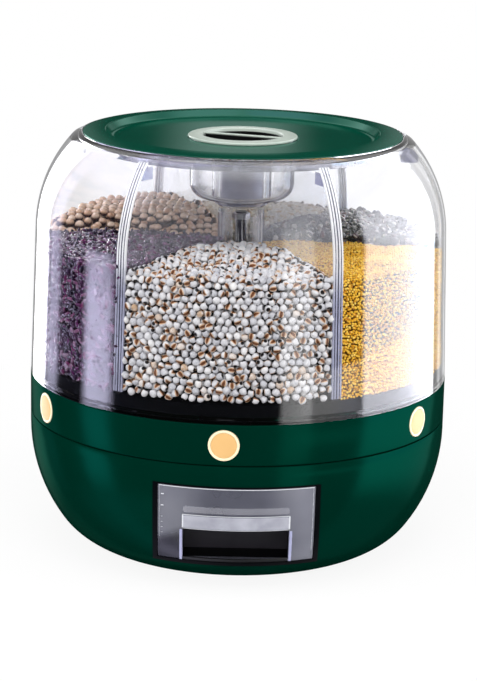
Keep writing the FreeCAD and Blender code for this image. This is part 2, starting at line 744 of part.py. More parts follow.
def dome_shell():
    outer, outer_foot, outer_end = dome_side(0, RING_TOP_Z, DOME_SHOULDER_TOP_Z)
    under_step = STEP_Z - STEP_T
    inner, inner_foot, inner_end = dome_side(DOME_WALL, RING_TOP_Z + DOME_WALL_FOOT, under_step)
    spigot_in = SPIGOT_R - SPIGOT_WALL
    corners = [
        outer_end, (STEP_R, DOME_LIP_Z), (STEP_R, STEP_Z), (MOUTH_R, STEP_Z), (MOUTH_R, MOUTH_Z),
        (MOUTH_R + MOUTH_WALL, MOUTH_Z), (MOUTH_R + MOUTH_WALL, under_step), inner_end,
    ]
    edges = outer + [straight(a, b) for a, b in zip(corners, corners[1:])] + inner
    corners = [
        inner_foot, (spigot_in, RING_TOP_Z + 2), (spigot_in, SPIGOT_Z), (SPIGOT_R, SPIGOT_Z),
        (SPIGOT_R, RING_TOP_Z), outer_foot,
    ]
    edges += [straight(a, b) for a, b in zip(corners, corners[1:])]
    return turn(Part.sortEdges(edges)[0])


def divider():
    """One radial wall at the front, its foot on the sloping floor."""
    reach = FLOOR_R - FLOOR_ROUNDING
    column = TUBE_R + TUBE_GAP
    notch_z = TUBE_TOP_Z - PAST
    corners = [
        (column, FLOOR_CENTRE_Z + DIVIDER_FOOT),
        (FLOOR_SEAT_R, FLOOR_CENTRE_Z + DIVIDER_FOOT),
        (reach, floor_height(reach) + DIVIDER_FOOT),
        (RING_R, floor_height(reach) + DIVIDER_FOOT),
        (RING_R, DIVIDER_TOP_Z),
        (DIVIDER_NOTCH_R + DIVIDER_NOTCH_SLANT, DIVIDER_TOP_Z, DIVIDER_NOTCH_ROUNDING[0]),
        (DIVIDER_NOTCH_R, notch_z, DIVIDER_NOTCH_ROUNDING[1]),
        (column, notch_z),
    ]
    plate = Part.Face(Part.Wire(outline(corners))).extrude(FreeCAD.Vector(0, DIVIDER_T, 0))
    plate.translate(FreeCAD.Vector(0, -DIVIDER_T / 2, 0))
    plate.rotate(ORIGIN, Z_AXIS, -90)
    return plate.common(dome_room(DIVIDER_EDGE_PLAY)).cut(rod(TUBE_R, (FLOOR_RIM_Z, HEIGHT)))


def divider_channels():
    """Pairs of ribs on the dome's inside that hold each divider's edge."""
    bottom = FLOOR_EDGE_Z + CHANNEL_FOOT
    top = STEP_Z - STEP_T
    band = dome_room(0, bottom, top).cut(dome_room(CHANNEL_DEPTH, bottom - PAST, top + PAST))
    inner = DIVIDER_T / 2 + CHANNEL_GAP
    slab = block((inner, inner + CHANNEL_T), (-RING_R, -MOUTH_R - MOUTH_WALL - PAST), (bottom, top))
    rib = band.common(slab)
    return group([swung(side, SECTOR / 2) for side in in_sectors([rib, mirrored(rib)])])


def centre_tube():
    return tube(TUBE_R, TUBE_R - TUBE_WALL, (FLOOR_CENTRE_Z, TUBE_TOP_Z))


def column_cap():
    skirt = TUBE_R - TUBE_WALL - TUBE_GAP
    skirt_z = TUBE_TOP_Z - CAP_SKIRT_H
    top = TUBE_TOP_Z + CAP_PLATE_T
    return turned_ring([
        (0, TUBE_TOP_Z), (skirt - CAP_SKIRT_T, TUBE_TOP_Z), (skirt - CAP_SKIRT_T, skirt_z), (skirt, skirt_z),
        (skirt, TUBE_TOP_Z), (TUBE_R, TUBE_TOP_Z), (TUBE_R, top, CAP_PLATE_ROUNDING), (0, top),
    ])


# Buttons, built at the front

def button_back_y():
    return -RING_R - BUTTON_PROUD + BUTTON_T


def button_cap():
    disc = front_rod(BUTTON_R, (-RING_R - BUTTON_PROUD - PAST, button_back_y()), 0, BUTTON_Z)
    reach = rod(RING_R + BUTTON_PROUD, (BUTTON_Z - BUTTON_R - PAST, BUTTON_Z + BUTTON_R + PAST))
    disc = disc.common(reach)
    rim = min(disc.Edges, key=lambda edge: edge.BoundBox.YMin)
    return disc.makeFillet(BUTTON_ROUNDING, [rim])


def gate():
    """A slotted plate in four bars, with the tab that the button pushes and the spring's heel."""
    front = button_back_y() + TAB_T
    slot = (-OUTLET_R[1] - BUTTON_TRAVEL, -OUTLET_R[0] - BUTTON_TRAVEL)
    side = block((OUTLET_HALF_W, GATE_HALF_W), slot, GATE_Z)
    full = (-GATE_HALF_W, GATE_HALF_W)
    return group([
        block(full, (front, slot[0]), GATE_Z),
        block(full, (slot[1], -GATE_INNER_R), GATE_Z),
        side,
        mirrored(side),
        block((-TAB_HALF_W, TAB_HALF_W), (button_back_y(), front), (GATE_Z[0], TAB_TOP_Z)),
        block(
            (-HEEL_HALF_W, HEEL_HALF_W), (-GATE_INNER_R - TAB_T, -GATE_INNER_R),
            (GATE_Z[1], SPRING_Z + SPRING_R + HEEL_OVER_SPRING),
        ),
    ])


def return_spring():
    margin = SPRING_WIRE_R + SPRING_PLAY
    length = GATE_INNER_R - SPRING_POST_R - 2 * margin
    path = Part.makeLongHelix(length / SPRING_TURNS, length, SPRING_R)
    circle = Part.Circle(FreeCAD.Vector(SPRING_R, 0, 0), FreeCAD.Vector(0, 1, 0), SPRING_WIRE_R)
    coil = Part.Wire(path).makePipeShell([Part.Wire([circle.toShape()])], True, True)
    coil.rotate(ORIGIN, FreeCAD.Vector(1, 0, 0), 90)
    coil.translate(FreeCAD.Vector(0, -SPRING_POST_R - margin, SPRING_Z))
    return coil


# Lid

def lid_cover():
    hole = CUP_R + LID_HOLE_PLAY
    rebate = CUP_FLANGE_R + LID_HOLE_PLAY
    under = LID_PANEL_Z - LID_T
    return turned_ring([
        (hole, under), (hole, LID_PANEL_Z - CUP_FLANGE_T), (rebate, LID_PANEL_Z - CUP_FLANGE_T),
        (rebate, LID_PANEL_Z, 0.3), (LID_PANEL_R, LID_PANEL_Z, 4.0), (LID_RIM_IN_R, HEIGHT, 1.5),
        (LID_R, HEIGHT, 1.0), (LID_R, HEIGHT - LID_T), (LID_RIM_IN_R + 1, HEIGHT - LID_T),
        (LID_PANEL_R + 1.5, under, 3.0),
    ])


def lid_plug():
    return tube(PLUG_R, PLUG_R - PLUG_WALL, (PLUG_Z, HEIGHT - LID_T))


def lid_gasket():
    return tube(GASKET_R[1], GASKET_R[0], (HEIGHT - LID_T - GASKET_T, HEIGHT - LID_T))


# Moisture box

def desiccant_cup():
    """The ring-shaped cup in sectors, open in its middle for the well."""
    inner_r = CUP_R - CUP_WALL
    top = LID_PANEL_Z
    floor = CUP_BOTTOM_Z + CUP_WALL
    ring = turned_ring([
        (WELL_R, CUP_BOTTOM_Z), (CUP_R, CUP_BOTTOM_Z, CUP_CORNER_R), (CUP_R, top - CUP_FLANGE_T),
        (CUP_FLANGE_R, top - CUP_FLANGE_T), (CUP_FLANGE_R, top), (inner_r, top),
        (inner_r, floor, CUP_CORNER_R - CUP_WALL), (WELL_R, floor),
    ])
    reach = 2 * CUP_FLANGE_R
    sweep = 2 * math.pi / CUP_SECTORS
    sector = prism([(0, 0), (reach, 0), (reach * math.cos(sweep), reach * math.sin(sweep))], (0, HEIGHT))
    return group([ring.common(cell) for cell in around(sector, CUP_SECTORS)])


def desiccant_well():
    inside = WELL_R - WELL_WALL
    floor = WELL_BOTTOM_Z + CUP_WALL
    return turned_ring([
        (0, WELL_BOTTOM_Z), (WELL_R, WELL_BOTTOM_Z, WELL_ROUNDING), (WELL_R, WELL_TOP_Z), (inside, WELL_TOP_Z),
        (inside, floor), (0, floor),
    ])


def desiccant_cartridge():
    floor = WELL_BOTTOM_Z + CUP_WALL
    foot_r = WELL_R - WELL_WALL - CARTRIDGE_PLAY
    foot_z = floor + CARTRIDGE_FOOT_T
    top = WELL_TOP_Z - CARTRIDGE_DROP
    return turned_ring([
        (0, floor), (foot_r, floor), (foot_r, foot_z), (CARTRIDGE_R, foot_z), (CARTRIDGE_R, top), (0, top),
    ])


def cartridge_lid():
    bottom = WELL_TOP_Z - CARTRIDGE_DROP
    z = (bottom, bottom + CARTRIDGE_LID_T)
    half_length, half_width = CARTRIDGE_SLOT
    slots = [
        block((x - half_width, x + half_width), (-half_length, half_length), (z[0] - PAST, z[1] + PAST))
        for x in CARTRIDGE_SLOT_X
    ]
    return rod(CARTRIDGE_R, z).cut(group(slots))


# Twist cap of the moisture box

def cap_bar():
    reach = CAP_RECESS_R + CAP_BAR_ROOT
    z = (CAP_FLOOR_Z + CAP_BAR_OVER_FLOOR, CAP_TOP_Z - CAP_BAR_DROP)
    return swung(block((-reach, reach), (-CAP_BAR_HALF_W, CAP_BAR_HALF_W), z), CAP_BAR_ANGLE)


def cap_ring():
    under = LID_PANEL_Z + CAP_LIFT
    ring = turned_ring([
        (CAP_RECESS_R, CAP_PLUG_Z), (CAP_PLUG_R, CAP_PLUG_Z), (CAP_PLUG_R, under), (CAP_R, under),
        (CAP_R, CAP_TOP_Z, CAP_ROUNDING), (CAP_RECESS_R, CAP_TOP_Z, CAP_ROUNDING),
    ])
    return ring.fuse(cap_bar())


def cap_dish():
    inside = CAP_RECESS_R - CAP_DISH_WALL
    top = CAP_TOP_Z - CAP_DISH_DROP
    floor = CAP_FLOOR_Z + CAP_FLOOR_T
    dish = turned_ring([
        (0, CAP_FLOOR_Z), (CAP_RECESS_R, CAP_FLOOR_Z), (CAP_RECESS_R, top), (inside, top),
        (inside, floor, CAP_DISH_ROUNDING), (0, floor),
    ])
    return dish.cut(cap_bar())


def build():
    floor_middle, floor_edges = panels_round_outlets(floor_disc(), SLEEVE_WALL)
    nodes = {
        "base_shell": base_shell(),
        "bottom_cover": bottom_cover(),
        "rubber_feet": rubber_feet(),
        "cover_screws": cover_screws(),
        "base_deck": base_deck(),
        "deck_screws": deck_screws(),
        "lower_race": lower_race(),
        "spindle": spindle(),
        "spindle_nuts": spindle_nuts(),
        "window_frame": window_frame(),
        "drawer_bay": drawer_bay(),
        "ball_cage": ball_cage(),
        "bearing_balls": bearing_balls(),
        "drawer_box": drawer_box(),
        "button_ring": button_ring(),
        "rotor_plate": rotor_plate(),
        "turntable_ribs": turntable_ribs(),
        "ring_screws": ring_screws(),
        "upper_race": upper_race(),
        "bushings": bushings(),
        "floor_tray": floor_middle,
        "floor_rim": group(floor_edges),
        "outlet_sleeves": outlet_sleeves(),
        "dome_shell": dome_shell(),
        "divider_channels": divider_channels(),
        "centre_tube": centre_tube(),
        "column_cap": column_cap(),
        "lid_cover": lid_cover(),
        "lid_plug": lid_plug(),
        "lid_gasket": lid_gasket(),
        "desiccant_cup": desiccant_cup(),
        "desiccant_well": desiccant_well(),
        "desiccant_cartridge": desiccant_cartridge(),
        "cartridge_lid": cartridge_lid(),
        "cap_ring": cap_ring(),
        "cap_dish": cap_dish(),
    }
    wall = divider()
    one = {"button_cap": button_cap(), "gate": gate(), "return_spring": return_spring()}
    for i in range(SECTORS):
        middle = ROTOR_PHASE + SECTOR * i
        nodes[f"divider_{i + 1}"] = swung(wall, middle + SECTOR / 2)
        for name, shape in one.items():
            nodes[f"{name}_{i + 1}"] = swung(shape, middle)
    return nodes


def main():
    os.makedirs("parts", exist_ok=True)
    for name, shape in build().items():
        print(f"{name:22s} solids {len(shape.Solids):3d} valid {shape.isValid()} volume {shape.Volume:12.1f}")
        shape.exportStep(f"parts/{name}.step")


main()
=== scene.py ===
import json
import math

import bmesh
import bpy
import numpy as np
from mathutils import Matrix, Vector


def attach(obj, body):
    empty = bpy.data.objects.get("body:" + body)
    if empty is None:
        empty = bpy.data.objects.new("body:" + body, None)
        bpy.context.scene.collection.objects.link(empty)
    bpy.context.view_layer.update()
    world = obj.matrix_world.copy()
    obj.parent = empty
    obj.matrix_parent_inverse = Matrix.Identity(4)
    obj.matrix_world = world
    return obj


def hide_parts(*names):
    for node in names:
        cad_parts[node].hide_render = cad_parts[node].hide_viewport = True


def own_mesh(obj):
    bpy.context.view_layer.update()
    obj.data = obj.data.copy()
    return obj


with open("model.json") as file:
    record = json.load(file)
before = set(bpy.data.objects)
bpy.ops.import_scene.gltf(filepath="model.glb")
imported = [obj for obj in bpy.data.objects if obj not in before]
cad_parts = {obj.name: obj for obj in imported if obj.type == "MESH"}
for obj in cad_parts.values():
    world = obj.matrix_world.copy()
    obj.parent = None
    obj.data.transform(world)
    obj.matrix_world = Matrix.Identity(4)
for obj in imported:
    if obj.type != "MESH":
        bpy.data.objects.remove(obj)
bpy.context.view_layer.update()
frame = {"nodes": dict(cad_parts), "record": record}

# Rotating food dispenser: a green base with one drawer, and on it a clear dome of six compartments
# that turns. Sizes are in millimetres and are made metres by SCALE when a mesh is built.

SCALE = 0.001
SMOOTH_TURN = 288         # faces round a turned piece
WIDE_TURN = 360
NARROW_TURN = 144
SHARP = math.radians(32)
DOUBLED = 1e-7            # metres within which two points are one

# Turning part and base
RING_R = 150.0
RING_Z = (97.5, 125.7)
RING_WALL = 3.0
RING_ROUNDING = (0.7, 0.9)        # lower and upper outer edge
SECTORS = 6
SECTOR = 60.0
HALF_SECTOR = math.radians(SECTOR / 2)
ROTOR_PHASE = -3.6        # degrees from the drawer's middle to the front compartment's middle
BASE_TOP_Z = 96.9
BASE_BOTTOM_Z = 1.5
BASE_WALL = 3.0
BASE_TOP_EDGE = ((1.1, 0.0), (0.3, 0.35), (0.0, 1.1))     # (inset, drop) of its softened edge
BOWL_START_Z = 88.0
BOWL_R = 115.0
BOWL_TURN = 35.0
BOWL_STEPS = (11, 22)     # steps along its upper and lower arc
COVER_R = 82.0
LEDGE_R = 142.0
LEDGE_Z = (85.8, 87.8)
WINDOW_HALF_W = 56.8
WINDOW_Z = (18.6, 82.6)
WINDOW_Y = (-159.0, -60.0)        # from outside the bowl to behind its front
BUTTON_R = 10.7
BUTTON_FACE_R = 8.8
BUTTON_RIM_DEPTH = 2.8
BUTTON_HOLE_R = 11.1
BUTTON_HOLE_Y = (-155.0, -142.0)
BUTTON_Z = 111.5
PLATE_TOP_Z = 100.4
FLANGE_R = 140.0
FLANGE_T = 2.0
GATE_ROOM_HALF_W = 22.0
GATE_ROOM_Y = (-151.0, -134.0)
SPRING_POST_R = 80.0
SPRING_END_R = 106.0
SPRING_Z = 106.6
SPRING_R = 3.0
SPRING_WIRE_R = 0.4
SPRING_TURNS = 7
SPRING_PLAY = 0.1

# Dome and compartments
DOME_BASE_R = 149.8
DOME_WALL = 2.6
DOME_ARC_START = (146.45, 232.0)
DOME_ARC_R = 98.0
DOME_STEPS = 28
DOME_SHOULDER_TOP_Z = 294.7
DOME_LIP_Z = 298.4
DOME_SEAT = 0.15          # gap between the ring and the dome's foot
DOME_WALL_FOOT = 5.0      # height over the ring where the full wall begins
SPIGOT_R = 146.9
SPIGOT_WALL = 2.3
SPIGOT_Z = 123.2
MOUTH_R = 106.0
MOUTH_WALL = 2.2
MOUTH_Z = 288.5
STEP_Z = 296.6
STEP_T = 2.5
STEP_R = 114.0
DIVIDER_T = 2.4
DIVIDER_TOP_Z = 286.0
FLOOR_CENTRE_Z = 158.0
FLOOR_SEAT_R = 18.0
FLOOR_EDGE_Z = 138.3
FLOOR_R = 144.4
TUBE_R = 16.6
TUBE_WALL = 2.2
TUBE_Z = (158.0, 242.0)
TUBE_ROUNDING = 0.5
CHANNEL_Z = (FLOOR_EDGE_Z + 2.0, 292.0)
# Painted highlight lines and painted dark lines stand in for the channels' clear edges
LIGHT_LINES = (-3.0, -1.1, 1.1, 3.0)      # places across a channel
STRIP_PLAY = 0.15         # between a line and the dome's wall
LIGHT_LINE_W = 1.2
LIGHT_LINE_DEPTH = 1.4
DARK_LINES = ((-2.05, 0.7), (0.0, 1.0), (2.05, 0.7))      # (place, width) across a channel
DARK_LINE_DEPTH = 0.8
CORNER_Z = (280.2, 288.2)
CORNER_X = (1.6, 2.2)
CORNER_LENGTH = 12.0

# Dry food
MOUND_R = 78.0            # where a heap is highest, and how far it falls off along and across
MOUND_LENGTH = 42.0
MOUND_WIDTH = 55.0
RIPPLE = 1.3
BANK_FOOT = 17.0          # how far a bank takes to rise off the divider, and to fall at the wall
BANK_EDGE = 16.0
BANK_START_R = 12.0       # where it starts to rise from the middle, and over what length
BANK_LENGTH = 40.0
FOOD_MIDDLE_Z = 190.0
SIZE_CHANGE = 0.08        # share by which grains differ in size
HEX_ROW = 0.866           # rows of round grains lie this share of their spacing apart
JITTER = 0.34             # share of the spacing by which a grain lies off its row
PUSHED_COUNT = 900

# Drawer
DRAWER_HALF_W = 52.9
DRAWER_INSET = 0.2        # its front behind the bowl's outer shape
PULL_HALF_W = 36.3
PULL_Z = (24.3, 61.0)
PULL_BACK_Y = -106.0
BAR_Z = (49.3, 60.6)
HOOD_Z = (62.0, 67.4)
SILL_Z = (20.4, 25.2)
EDGE_Z = (20.6, 49.0)
SKIN_DEPTH = 1.5          # how far the lining's front edges lie behind the bowl's skin
LINING_T = 0.3
LINING_PLAY = 0.15        # between the recess's walls and the lining of painted shade
LINE_T = 0.5
LINE_INSET = 0.04         # the bar's and the front's painted highlight lines behind the bowl's skin
EDGE_INSET = 0.12
TOP_LINE_Z = (80.2, 81.0)
RIGHT_LINE = ((51.7, 52.1), (30.0, 80.4))         # (X, Z) of the painted highlight lines at the front's sides
LEFT_LINE = ((-52.1, -51.9), (40.0, 80.4))
MARK_X = -51.0
MARK_MIDDLE_X = 49.3      # how far aside the marks' depth is measured
LONG_MARKS = ((74.4, 3.4), (65.9, 2.8))   # (height, length) on the drawer's left edge
SHORT_MARKS = ((57.2, 1.2), (53.0, 1.2), (48.7, 1.2), (44.4, 1.2))

# Lid, moisture box and twist cap
LID_R = 113.3
LID_TOP_Z = 300.0
LID_T = 2.5
LID_RIM_IN_R = 97.5
LID_PANEL_R = 92.5
LID_PANEL_Z = 295.0
PLUG_R = 105.4
PLUG_WALL = 2.2
PLUG_Z = 288.0
PLUG_ROUNDING = 0.7
CUP_R = 37.2
CUP_WALL = 1.8
CUP_FLANGE_R = 38.4
CUP_FLANGE_T = 1.4
CUP_BOTTOM_Z = 251.6
CUP_CORNER_R = 11.0
WELL_R = 21.0
WELL_WALL = 1.6
WELL_BOTTOM_Z = 246.2
WELL_TOP_Z = 284.0
CAP_R = 38.9
CAP_TOP_Z = 297.2
CAP_RECESS_R = 28.5
CAP_PLUG_R = 34.9
CAP_PLUG_Z = 289.0
CAP_FLOOR_Z = 286.5
CAP_FLOOR_T = 1.5
CAP_DISH_R = 28.45
CAP_DISH_WALL = 1.15
CAP_DISH_DROP = 2.6       # dish rim below the cap's top
CAP_BAR_HALF_W = 1.7
CAP_BAR_ANGLE = -19.5
CAP_BAR_DROP = (1.6, 0.4)         # lower and upper side below the cap's top
LID_PLAY = 0.3

# Camera and studio: the camera and the lamps aim at a point on the turning axis
AIM_Z = 145.94
CAMERA_DISTANCE = 1650.0
CAMERA_ELEVATION = 14.264
CAMERA_AZIMUTH = -0.4
CAMERA_ROLL = 1.219
LENS = 120.26
SENSOR_W = 36.0
LAMPS = (                 # name, azimuth, elevation, distance in metres, watts
    ("side_lamp_right", 78, 18, 1.3, 8.0),
    ("side_lamp_left", -80, 18, 1.3, 6.5),
    ("top_lamp", 0, 62, 1.4, 12.0),
    ("front_lamp", -12, 22, 1.9, 10.0),
)
LAMP_SIZE = 0.9
WHITE_LIGHT = (1.0, 1.0, 1.0, 1.0)
FLOOR_HALF_W = 9000.0
LIGHT_BOUNCES = 24
CLEAR_LAYERS = 32         # see-through skins that one ray may cross


def colour(red, green, blue, alpha=1.0):
    """A screen colour, each part 0 to 255, as the renderer's light values."""
    def linear(part):
        part = part / 255
        return part / 12.92 if part <= 0.04045 else ((part + 0.055) / 1.055) ** 2.4
    return linear(red), linear(green), linear(blue), alpha


# Shader writing

class Value:
    """A number in a material's nodes, which can be written in sums."""

    def __init__(self, finish, socket):
        self.finish = finish
        self.socket = socket

    def math(self, operation, *others):
        values = dict(enumerate((self,) + others))
        return self.finish.node("ShaderNodeMath", {"operation": operation}, values)[0]

    def __add__(self, other):
        return self.math("ADD", other)

    __radd__ = __add__

    def __sub__(self, other):
        return self.math("SUBTRACT", other)

    def __rsub__(self, other):
        return (self * -1.0) + other

    def __mul__(self, other):
        return self.math("MULTIPLY", other)

    __rmul__ = __mul__

    def __pow__(self, other):
        return self.math("POWER", other)

    def most(self, other):
        return self.math("MAXIMUM", other)

    def least(self, other):
        return self.math("MINIMUM", other)

    def ramp(self, start, end, low=0.0, high=1.0):
        """Runs smoothly from low at start to high at end."""
        settings = {"interpolation_type": "SMOOTHSTEP"}
        sockets = {"Value": self, "From Min": start, "From Max": end, "To Min": low, "To Max": high}
        return self.finish.node("ShaderNodeMapRange", settings, sockets)["Result"]

    def between(self, start, full, fall, end):
        """0 up to start, 1 from full to fall, and 0 from end on."""
        return self.ramp(start, full) * self.ramp(fall, end, 1.0, 0.0)

    def bump(self, strength, distance):
        """A normal that stands out where the number is high. Distance is in metres."""
        sockets = {"Height": self, "Strength": strength, "Distance": distance}
        return self.finish.node("ShaderNodeBump", {}, sockets)["Normal"]


class Outputs:
    """A node's outputs, by name or number."""

    def __init__(self, finish, made):
        self.finish = finish
        self.made = made

    def __getitem__(self, key):
        return Value(self.finish, self.made.outputs[key])


class Finish:
    """The nodes of one material or of the world."""

    def __init__(self, name, block=None):
        self.block = block or bpy.data.materials.new(name)
        self.block.use_nodes = True
        self.tree = self.block.node_tree
        self.tree.nodes.clear()

    def node(self, kind, settings, sockets):
        """One node: its type, its settings, then the values or links of its sockets."""
        made = self.tree.nodes.new(kind)
        for key, value in settings.items():
            if key == "stops":
                self.set_stops(made.color_ramp, value)
            else:
                setattr(made, key, value)
        for key, value in sockets.items():
            if isinstance(value, Value):
                self.tree.links.new(value.socket, made.inputs[key])
            else:
                made.inputs[key].default_value = value
        return Outputs(self, made)

    @staticmethod
    def set_stops(ramp, stops):
        while len(ramp.elements) < len(stops):
            ramp.elements.new(1.0)
        for element, (place, shade) in zip(ramp.elements, stops):
            element.position = place
            element.color = shade

    def place(self):
        """Where the point is on the object, in metres."""
        return self.node("ShaderNodeTexCoord", {}, {})["Object"]

    def axes(self, vector=None):
        """A vector's X, Y and Z, or those of the point on the object."""
        return self.node("ShaderNodeSeparateXYZ", {}, {"Vector": vector or self.place()})

    def noise(self, size, detail=2.0, roughness=0.5, where=None):
        """Soft noise whose lumps are about size metres across, from 0 to 1."""
        where = where or self.place()
        sockets = {"Vector": where, "Scale": 1 / size, "Detail": detail, "Roughness": roughness}
        return self.node("ShaderNodeTexNoise", {}, sockets)["Fac"]

    def grain(self):
        """A random number for each loose bit of the mesh."""
        return self.node("ShaderNodeNewGeometry", {}, {})["Random Per Island"]

    def facing(self):
        """0 where the skin is seen square on, 1 where it is seen along its face."""
        return self.node("ShaderNodeLayerWeight", {}, {"Blend": 0.5})["Facing"]

    def with_gap_shade(self, tone, deep, start=0.22, end=0.62):
        """A grain's colour with painted shade: darker where the grain goes down between its neighbours."""
        return self.blend(self.mark("height").ramp(start, end), deep, tone)

    def mark(self, name):
        """A number that the mesh carries at its points."""
        return self.node("ShaderNodeAttribute", {"attribute_name": name}, {})["Fac"]

    def blend(self, factor, first, second):
        """A colour between two colours."""
        settings = {"data_type": "RGBA"}
        sockets = {"Factor": factor, 6: first, 7: second}
        return self.node("ShaderNodeMix", settings, sockets)[2]

    def shades(self, factor, *stops):
        """A colour from a list of (place, colour) stops."""
        return self.node("ShaderNodeValToRGB", {"stops": stops}, {"Fac": factor})["Color"]

    def surface(self, **sockets):
        """The main shader. Keyword names stand for the sockets' names, such as base_color."""
        named = {}
        for key, value in sockets.items():
            named[key.replace("_", " ").title().replace("Ior", "IOR")] = value
        return self.node("ShaderNodeBsdfPrincipled", {}, named)["BSDF"]

    def mix(self, factor, first, second):
        return self.node("ShaderNodeMixShader", {}, {0: factor, 1: first, 2: second})["Shader"]

    def clear(self, tint):
        return self.node("ShaderNodeBsdfTransparent", {}, {"Color": tint})["BSDF"]

    def ray(self, kind):
        return self.node("ShaderNodeLightPath", {}, {})[kind]

    def mirrored(self):
        """1 for what is seen as a reflection, also through clear plastic."""
        return self.ray("Glossy Depth").least(1.0)

    def looked_at(self):
        """1 for what the camera sees, straight, mirrored or through clear plastic."""
        return self.ray("Is Camera Ray").most(self.ray("Is Glossy Ray")).most(self.ray("Is Transmission Ray"))

    def done(self, shader, output="ShaderNodeOutputMaterial"):
        self.node(output, {}, {"Surface": shader})
        return self.block


# Materials

def satin_green(name, dark, light, tint, gloss, roughness):
    """Deep green moulded plastic. Gloss is the share of polish seen square on and seen along."""
    f = Finish(name)
    fine = f.noise(0.0011, 2).bump(0.05, 0.0001)
    haze = f.noise(0.018, 4, 0.6)
    tone = f.blend(f.noise(0.060, 3), dark, light)
    matt = f.surface(base_color=tone, roughness=0.6, specular_ior_level=0.0, normal=fine)
    polish = f.surface(base_color=tint, metallic=1.0, roughness=haze * 0.05 + roughness, normal=fine)
    return f.done(f.mix(f.facing().ramp(0.35, 0.85, *gloss), matt, polish))


def clear_plastic():
    """Clear moulded plastic, a little darker where it is seen along its skin. Lamps shine through it."""
    f = Finish("clear_plastic")
    flow = f.noise(0.055, 2).bump(0.035, 0.002)
    tone = f.blend(f.facing().ramp(0.72, 1.0), (0.990, 0.991, 1.0, 1.0), (0.74, 0.77, 0.88, 1.0))
    glass = f.surface(base_color=tone, roughness=0.02, ior=1.42, transmission_weight=1.0, normal=flow)
    return f.done(f.mix(f.ray("Is Shadow Ray"), glass, f.clear((0.96, 0.96, 0.97, 1.0))))


def thin_clear(name, dark, light, middle, edge, streaks=0.0, rim=(0.64, 0.80)):
    """Thin clear plastic that shows by its pale sides and dark rims. Streaks run up and down."""
    f = Finish(name)
    where = f.axes()
    turn = where["X"].math("ARCTAN2", where["Y"] * -1.0)
    upright = f.node("ShaderNodeCombineXYZ", {}, {"X": turn, "Y": where["Z"] * 2.0})["Vector"]
    lines = f.noise(0.16, 3, 0.65, upright)
    level = f.axes(f.node("ShaderNodeNewGeometry", {}, {})["Normal"])["Z"].math("ABSOLUTE")
    side = f.facing() * level.ramp(0.80, 0.98, 1.0, 0.6)
    share = side.ramp(0.30, 0.80, middle, edge) + lines.ramp(0.50, 0.62) * streaks
    shade = side.ramp(*rim).most(lines.ramp(0.35, 0.65, 1.0 if streaks else 0.3, 0.0))
    haze = f.blend(shade, light, dark)
    body = f.surface(base_color=haze, roughness=f.noise(0.01) * 0.05 + 0.06)
    return f.done(f.mix(share, f.clear((0.993, 0.993, 0.998, 1.0)), body))


def painted_channel_line(name, low, high, share):
    """A moulded edge of the clear channels drawn as a painted line: paler over the food's level than beside
    it, as painted light.
    """
    f = Finish(name)
    height = f.axes()["Z"]
    tone = f.blend(height.ramp(0.205, 0.240), low, high)
    body = f.surface(base_color=tone, roughness=f.noise(0.01) * 0.1 + 0.2)
    patches = f.noise(0.02, 2).ramp(0.3, 0.7, share * 0.7, share)
    return f.done(f.mix(patches, f.clear((0.97, 0.97, 0.985, 1.0)), body))


def smoky_plastic():
    """The drawer's clear grey plastic: a thin smoke that lets the inside show. Painted shade darkens its
    lower left corner and painted light brightens it towards its sides.
    """
    f = Finish("smoky_plastic")
    where = f.axes()
    aside, height = where["X"], where["Z"]
    # painted shade: the lower left corner goes dark
    corner = (height - aside * 0.45).ramp(0.058, 0.070, 0.0, 1.0).most(aside.ramp(-0.034, -0.026))
    # painted light: lighter towards the right and left sides; cloud adds these to its noise
    sides = aside.ramp(0.012, 0.052, 0.0, 0.55), aside.ramp(-0.050, -0.010, 0.35, 0.0)
    cloud = f.noise(0.030, 2) * 0.3 + sides[0] + sides[1]
    tone = f.blend(cloud, colour(82, 83, 96), colour(164, 165, 178))
    tone = f.blend(corner, colour(40, 40, 50), tone)
    flow = f.noise(0.030, 2).bump(0.04, 0.002)
    body = f.surface(base_color=tone, roughness=cloud * 0.06 + 0.10, normal=flow)
    return f.done(f.mix(f.facing().ramp(0.5, 0.95, 0.62, 0.9), f.clear((0.55, 0.55, 0.60, 1.0)), body))


def black_plastic():
    f = Finish("black_plastic")
    speck = f.noise(0.0006, 3)
    tone = f.blend(f.noise(0.020, 3), colour(3, 4, 7), colour(9, 10, 14))
    rough = speck * 0.15 + 0.28
    skin = speck.bump(0.15, 0.0001)
    return f.done(f.surface(base_color=tone, roughness=rough, specular_ior_level=0.03, normal=skin))


def dish_black():
    f = Finish("dish_black")
    tone = f.blend(f.noise(0.008, 3), colour(3, 3, 3), colour(10, 10, 11))
    return f.done(f.surface(base_color=tone, roughness=f.noise(0.001) * 0.1 + 0.30))


def plain_plastic(name, dark, light, roughness):
    """A moulded plastic with a fine skin and a faint cloud in its colour."""
    f = Finish(name)
    tone = f.blend(f.noise(0.012, 3), dark, light)
    skin = f.noise(0.0007, 2)
    rough = skin * 0.10 + roughness
    return f.done(f.surface(base_color=tone, roughness=rough, normal=skin.bump(0.06, 0.0001)))


def steel():
    f = Finish("steel")
    grit = f.noise(0.0009, 4, 0.7)
    tone = f.blend(f.noise(0.006, 3), (0.34, 0.35, 0.37, 1.0), (0.50, 0.51, 0.53, 1.0))
    return f.done(f.surface(
        base_color=tone, metallic=1.0, roughness=grit * 0.18 + 0.24, normal=grit.bump(0.05, 0.00005),
    ))


def soft_rubber():
    f = Finish("soft_rubber")
    grit = f.noise(0.0005, 3)
    tone = f.blend(grit, colour(20, 20, 21), colour(38, 38, 40))
    return f.done(f.surface(base_color=tone, roughness=0.75, normal=grit.bump(0.25, 0.0001)))


